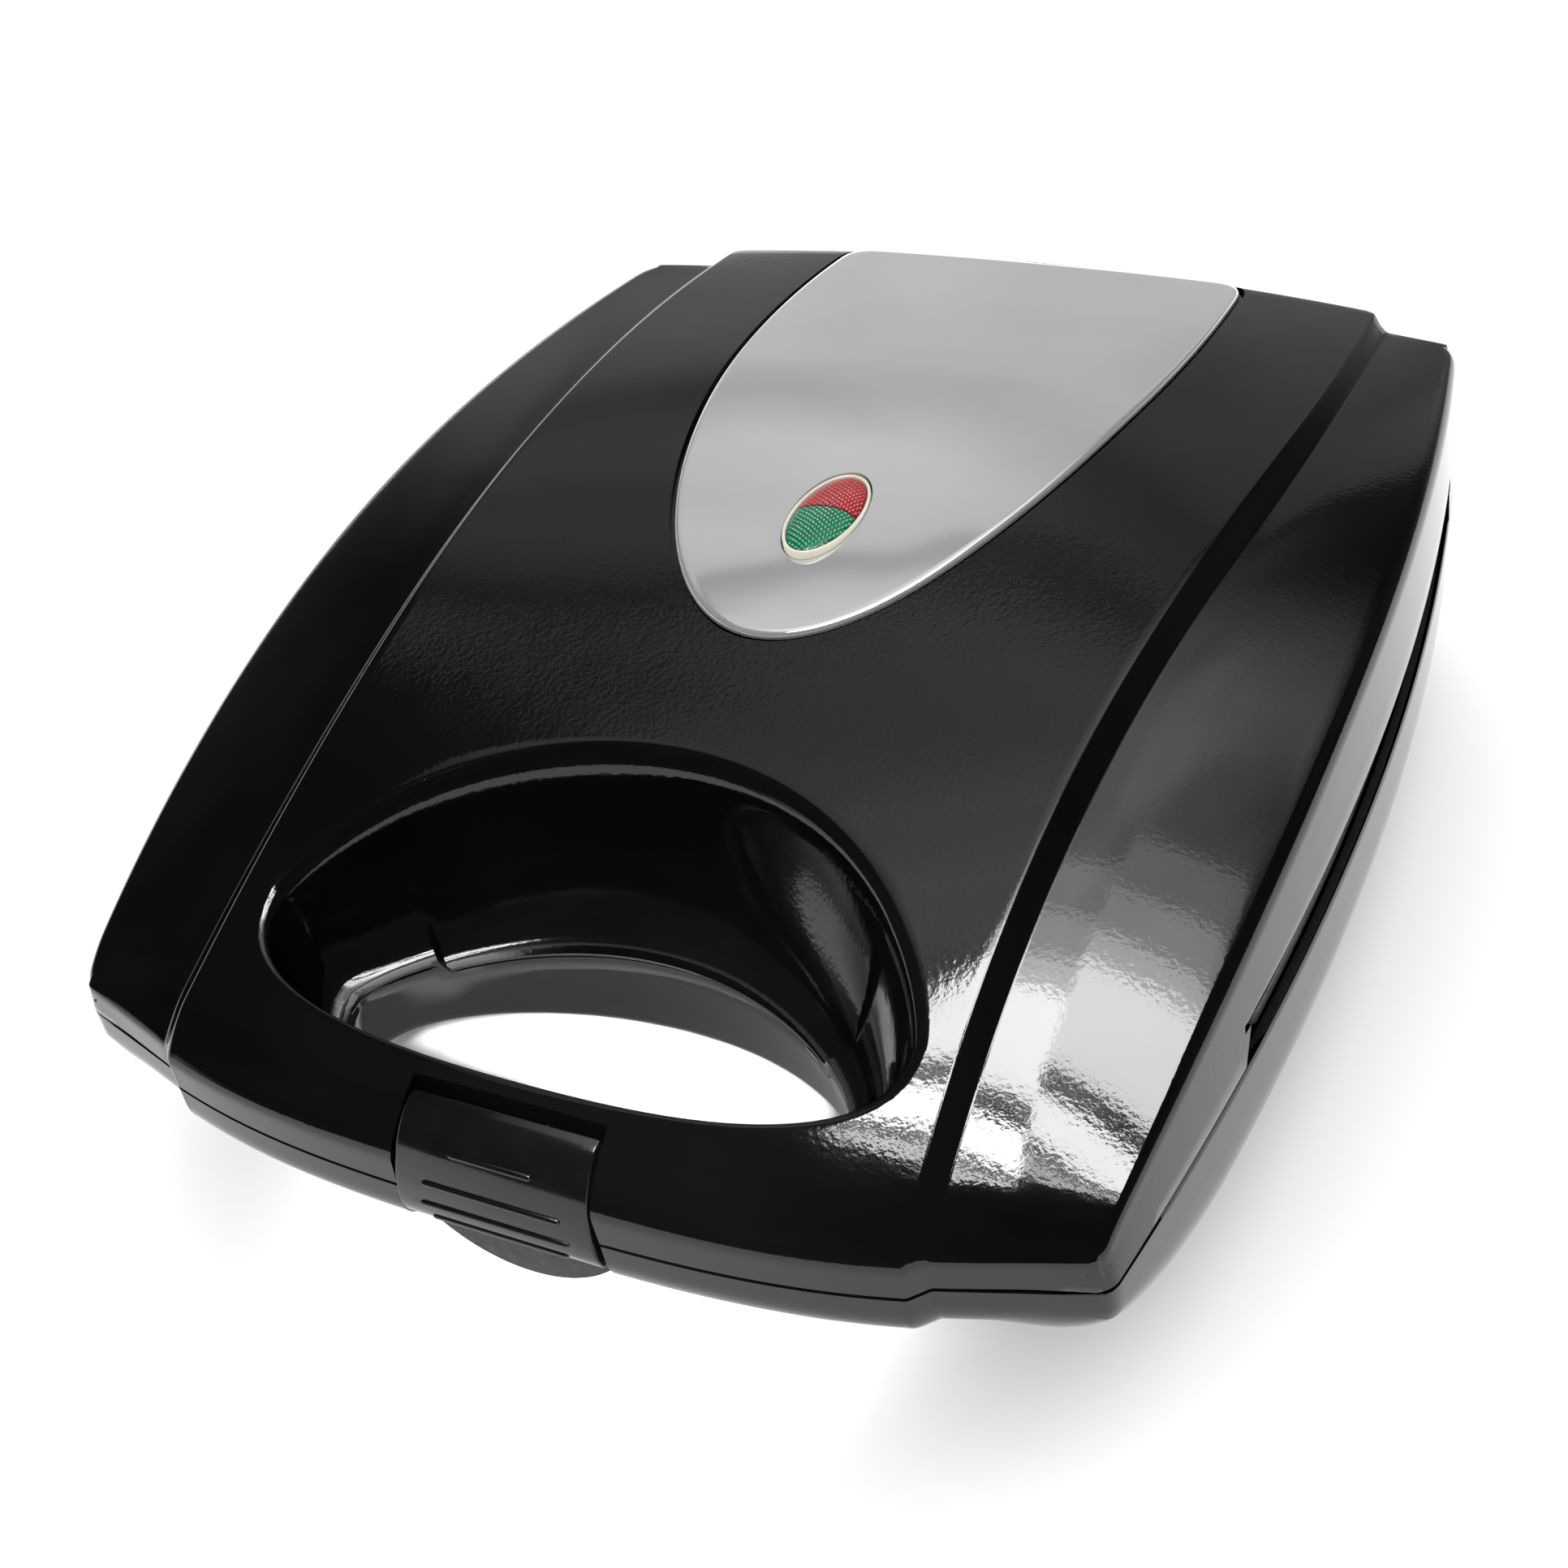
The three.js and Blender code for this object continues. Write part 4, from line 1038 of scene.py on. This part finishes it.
def add_plates():
    plate, screw = cooking_plate(), pan_screw()
    lower = Matrix.Translation((0, 0, CONTACT - CONTACT_GAP))
    upper = Matrix.Translation((0, 0, CONTACT + CONTACT_GAP)) @ Matrix.Rotation(math.pi, 4, "Y")
    for body, prefix, turn in (("base", "lower", lower), ("lid", "upper", upper)):
        piece = copied(plate, f"{prefix}_ring_plate", turn)
        mount(piece, body, "nonstick", f"{prefix}_cooking_plate")
        mark_plate_edge(piece)
        for number, (x, y) in enumerate(SCREWS, 1):
            fine = copied(screw, f"{prefix}_pan_screw_{number}", turn @ Matrix.Translation((x, y, 0)))
            mount(fine, body, "zinc_steel", f"{prefix}_plate_screw_{number}")
    bpy.data.objects.remove(plate)
    bpy.data.objects.remove(screw)


def mark_plate_edge(piece):
    """The outer edge of a plate is bare metal."""
    piece.data.materials.append(LOOKS["plate_edge"].material)
    middle = ORIGIN + Vector((0, (PLATE_FRONT + PLATE_BACK) / 2, 0)) * MM
    for face in piece.data.polygons:
        out = (face.center - middle) / MM
        far = abs(out.x) > PLATE_EDGE_X or abs(out.y) > PLATE_EDGE_Y
        if far and abs(face.normal.z) < 0.5:
            face.material_index = 1


def add_pieces():
    mount(lid_casing(), "lid", "gloss_black", "upper_shell")
    mount(base_casing(), "base", "gloss_black", "lower_shell")
    mount(top_panel(), "lid", "stainless", "top_panel")
    mount(lens_bezel(), "lid", "cream_plastic", "lens_bezel")
    mount(lens("red_lens_dome", "DIFFERENCE", DIVIDE_GAP), "lid", "red_lens", "red_lens")
    mount(lens("green_lens_dome", "INTERSECT", -DIVIDE_GAP), "lid", "green_lens", "green_lens")
    mount(latch_lever(), "latch", "latch_black", "latch")
    mount(latch_catch(), "base", "matte_black", "latch_catch")
    add_plates()
    for place, x, y in FEET:
        mount(foot(f"rubber_foot_{place}", x, y), "base", "foot_rubber", f"foot_{place}")
    for place, side in (("left", -1), ("right", 1)):
        mount(hinge_pin(f"headed_pin_{place}", side), "base", "zinc_steel", f"hinge_pin_{place}")
    mount(cord_gland(), "base", "gland_rubber", "cord_gland", name="cord_grommet")


def paint_kept_nodes():
    """The CAD nodes that still show take their look from their slot in the record."""
    slots = {part["node"]: part["material_slot"] for part in frame["record"]["subparts"]}
    for name, thing in frame["nodes"].items():
        paint(thing, LOOKS[slots[name]])


# ---- Floor, light and camera; the camera's place is in shell millimetres, the lights' are in metres ----
CAMERA_AT = (176.8, -190.7, 283.7)
CAMERA_AZIMUTH, CAMERA_ELEVATION, CAMERA_ROLL = 30.6, 39.2, -9.2
FOCAL_LENGTH, SENSOR = 51.73, 36
FLOOR_HALF = 4
# The dome lights matt surfaces; the room, its horizon and what follows are only seen in reflections.
DOME, HORIZON, ROOM = 1.6, 1.4, 0.06
# What glossy surfaces mirror: azimuth, elevation, outer and inner radius in degrees, brightness.
REAR_WALL = [(-165, 0, 45, 15, 0.36), (-148, 38, 15, 6, 0.26)]
CEILING, HIGH_GLOW = (-150, 52, 30, 12, 0.4), (175, 66, 30, 8, 1.1)
WALL_TOP_FACING, WALL_TOP, WALL_BLUR, COVING = (136, 67), 0.687, 0.002, (0.005, 0.02)
HORIZON_FACING, HORIZON_SPAN, HORIZON_HEIGHT = (-130, 0), (0.1, 0.6), (0.05, 0.15)
CLOUD_SCALE = 3.5
# The window: rows of panes (y, depth, share of brightness) and columns (x, width, radiance, shift along y).
WINDOW_HEIGHT = 1.05
PANE_ROWS = [(-0.2875, 0.025, 0.8), (-0.2125, 0.075, 1.35), (-0.04, 0.19, 1.0)]
PANE_ROWS += [(0.085, 0.05, 0.45), (0.155, 0.08, 0.2), (0.25, 0.1, 0.08)]
PANE_COLUMNS = [(-0.02, 0.25, 21, 0), (0.3275, 0.445, 16, 0.07)]
# A narrow light on the finger opening: what it points at, from where, how far off, its size and radiance.
FILL_TARGET, FILL_FROM, FILL_AWAY, FILL_SIZE = Vector((-0.015, -0.069, 0)), (36, 46), 0.7, (0.05, 0.03)
FILL_RADIANCE, FILL_SPREAD = 24, 12


def direction(azimuth, elevation):
    """A unit vector; azimuth 0 looks at the front and 90 at the right side."""
    az, el = math.radians(azimuth), math.radians(elevation)
    return Vector((math.sin(az) * math.cos(el), -math.cos(az) * math.cos(el), math.sin(el)))


def softbox(name, centre, facing, size, radiance, mirrored=True):
    """A rectangular light at centre that faces along a direction; radiance sets how bright it looks."""
    light = bpy.data.lights.new(name, "AREA")
    light.shape = "RECTANGLE"
    light.size, light.size_y = size
    light.energy = radiance * math.pi * size[0] * size[1]
    thing = linked(name, light)
    thing.location = centre
    thing.rotation_euler = Vector(facing).to_track_quat("-Z", "Y").to_euler()
    thing.visible_glossy = mirrored
    thing.visible_camera = False
    return thing


def add_lights():
    """A window overhead: two columns of panes, the right one dimmer, and a narrow fill over the opening."""
    for row, (y, depth, share) in enumerate(PANE_ROWS):
        for column, (x, width, radiance, shift) in enumerate(PANE_COLUMNS):
            centre = x, y + shift, WINDOW_HEIGHT
            name = f"window_{row}_{column}"
            pane = softbox(name, centre, (0, 0, -1), (width, depth), radiance * share)
            pane.visible_diffuse = False
    aside = direction(*FILL_FROM)
    centre = FILL_TARGET + aside * FILL_AWAY
    fill = softbox("opening_fill", centre, -aside, FILL_SIZE, FILL_RADIANCE, mirrored=False)
    fill.data.spread = math.radians(FILL_SPREAD)


def add_floor():
    points = [(x * FLOOR_HALF, y * FLOOR_HALF, 0) for x, y in ((-1, -1), (1, -1), (1, 1), (-1, 1))]
    mesh = bpy.data.meshes.new("floor")
    mesh.from_pydata(points, [], [(0, 1, 2, 3)])
    floor = linked("floor", mesh)
    look = Look("pale_floor", Roughness=0.9)
    look.colours(look.noise(6, 3), (0.91, 0.91, 0.91), (0.93, 0.93, 0.93))
    floor.data.materials.append(look.material)


def add_world():
    """An even bright dome for the floor; in reflections a dim room with a pale horizon."""
    world = bpy.data.worlds.new("world")
    world.use_nodes = True
    world.cycles.sampling_method = "NONE"
    tree = world.node_tree

    def node(kind, inputs={}, **settings):
        return add_node(tree, kind, inputs, **settings)

    def spread(value, low, high, brightness):
        """Brightness that rises smoothly from 0 as value goes from low to high."""
        inputs = {"Value": value, "From Min": low, "From Max": high, "To Min": 0, "To Max": brightness}
        return node("MapRange", inputs, interpolation_type="SMOOTHSTEP").outputs["Result"]

    def towards(azimuth, elevation):
        inputs = {0: place, 1: direction(azimuth, elevation)}
        return node("VectorMath", inputs, operation="DOT_PRODUCT").outputs["Value"]

    def glow(azimuth, elevation, outer, inner, brightness):
        edges = math.cos(math.radians(outer)), math.cos(math.radians(inner))
        return spread(towards(azimuth, elevation), *edges, brightness)

    def combined(first, second, operation="ADD"):
        return node("Math", {0: first, 1: second}, operation=operation).outputs["Value"]

    def shade(strength):
        return node("Background", {"Strength": strength, "Color": (1, 1, 1, 1)}).outputs["Background"]

    def choose(factor, first, second):
        return node("MixShader", {0: factor, 1: first, 2: second}).outputs["Shader"]

    place = node("TexCoord").outputs["Generated"]
    height = node("SeparateXYZ", {"Vector": place}).outputs["Z"]
    wall = combined(glow(*REAR_WALL[0]), glow(*REAR_WALL[1]))
    above_wall = spread(towards(*WALL_TOP_FACING), WALL_TOP - WALL_BLUR, WALL_TOP + WALL_BLUR, 1)
    above_coving = spread(towards(*WALL_TOP_FACING), WALL_TOP + COVING[0], WALL_TOP + COVING[1], 1)
    ceiling = combined(glow(*CEILING), above_coving, "MULTIPLY")
    room = combined(combined(wall, combined(1.0, above_wall, "SUBTRACT"), "MULTIPLY"), ceiling)
    room = combined(combined(room, ROOM), glow(*HIGH_GLOW))
    cloud = node("TexNoise", {"Vector": place, "Scale": CLOUD_SCALE, "Detail": 2}).outputs["Fac"]
    room = combined(room, combined(cloud, 2.0, "MULTIPLY"), "MULTIPLY")
    horizon = combined(HORIZON, spread(height, *HORIZON_HEIGHT, HORIZON), "SUBTRACT")
    horizon = combined(horizon, spread(towards(*HORIZON_FACING), *HORIZON_SPAN, 1), "MULTIPLY")
    path = node("LightPath").outputs
    seen = choose(path["Is Glossy Ray"], shade(DOME), shade(combined(room, horizon)))
    seen = choose(path["Is Camera Ray"], seen, shade(1.0))
    tree.links.new(seen, tree.nodes["World Output"].inputs["Surface"])
    bpy.context.scene.world = world


def add_camera():
    camera = bpy.data.cameras.new("camera")
    camera.lens, camera.sensor_width, camera.clip_start = FOCAL_LENGTH, SENSOR, 0.01
    thing = linked("camera", camera)
    back = direction(CAMERA_AZIMUTH, CAMERA_ELEVATION)
    level = (-back).cross(Vector((0, 0, 1))).normalized()
    upright = level.cross(-back)
    roll = math.radians(CAMERA_ROLL)
    right = math.cos(roll) * level + math.sin(roll) * upright
    up = math.cos(roll) * upright - math.sin(roll) * level
    turn = Matrix((right, up, back)).transposed().to_4x4()
    thing.matrix_world = Matrix.Translation(ORIGIN + Vector(CAMERA_AT) * MM) @ turn
    bpy.context.scene.camera = thing


add_camera()
add_pieces()
paint_kept_nodes()
add_floor()
add_world()
add_lights()
bpy.context.scene.view_settings.view_transform = "Standard"
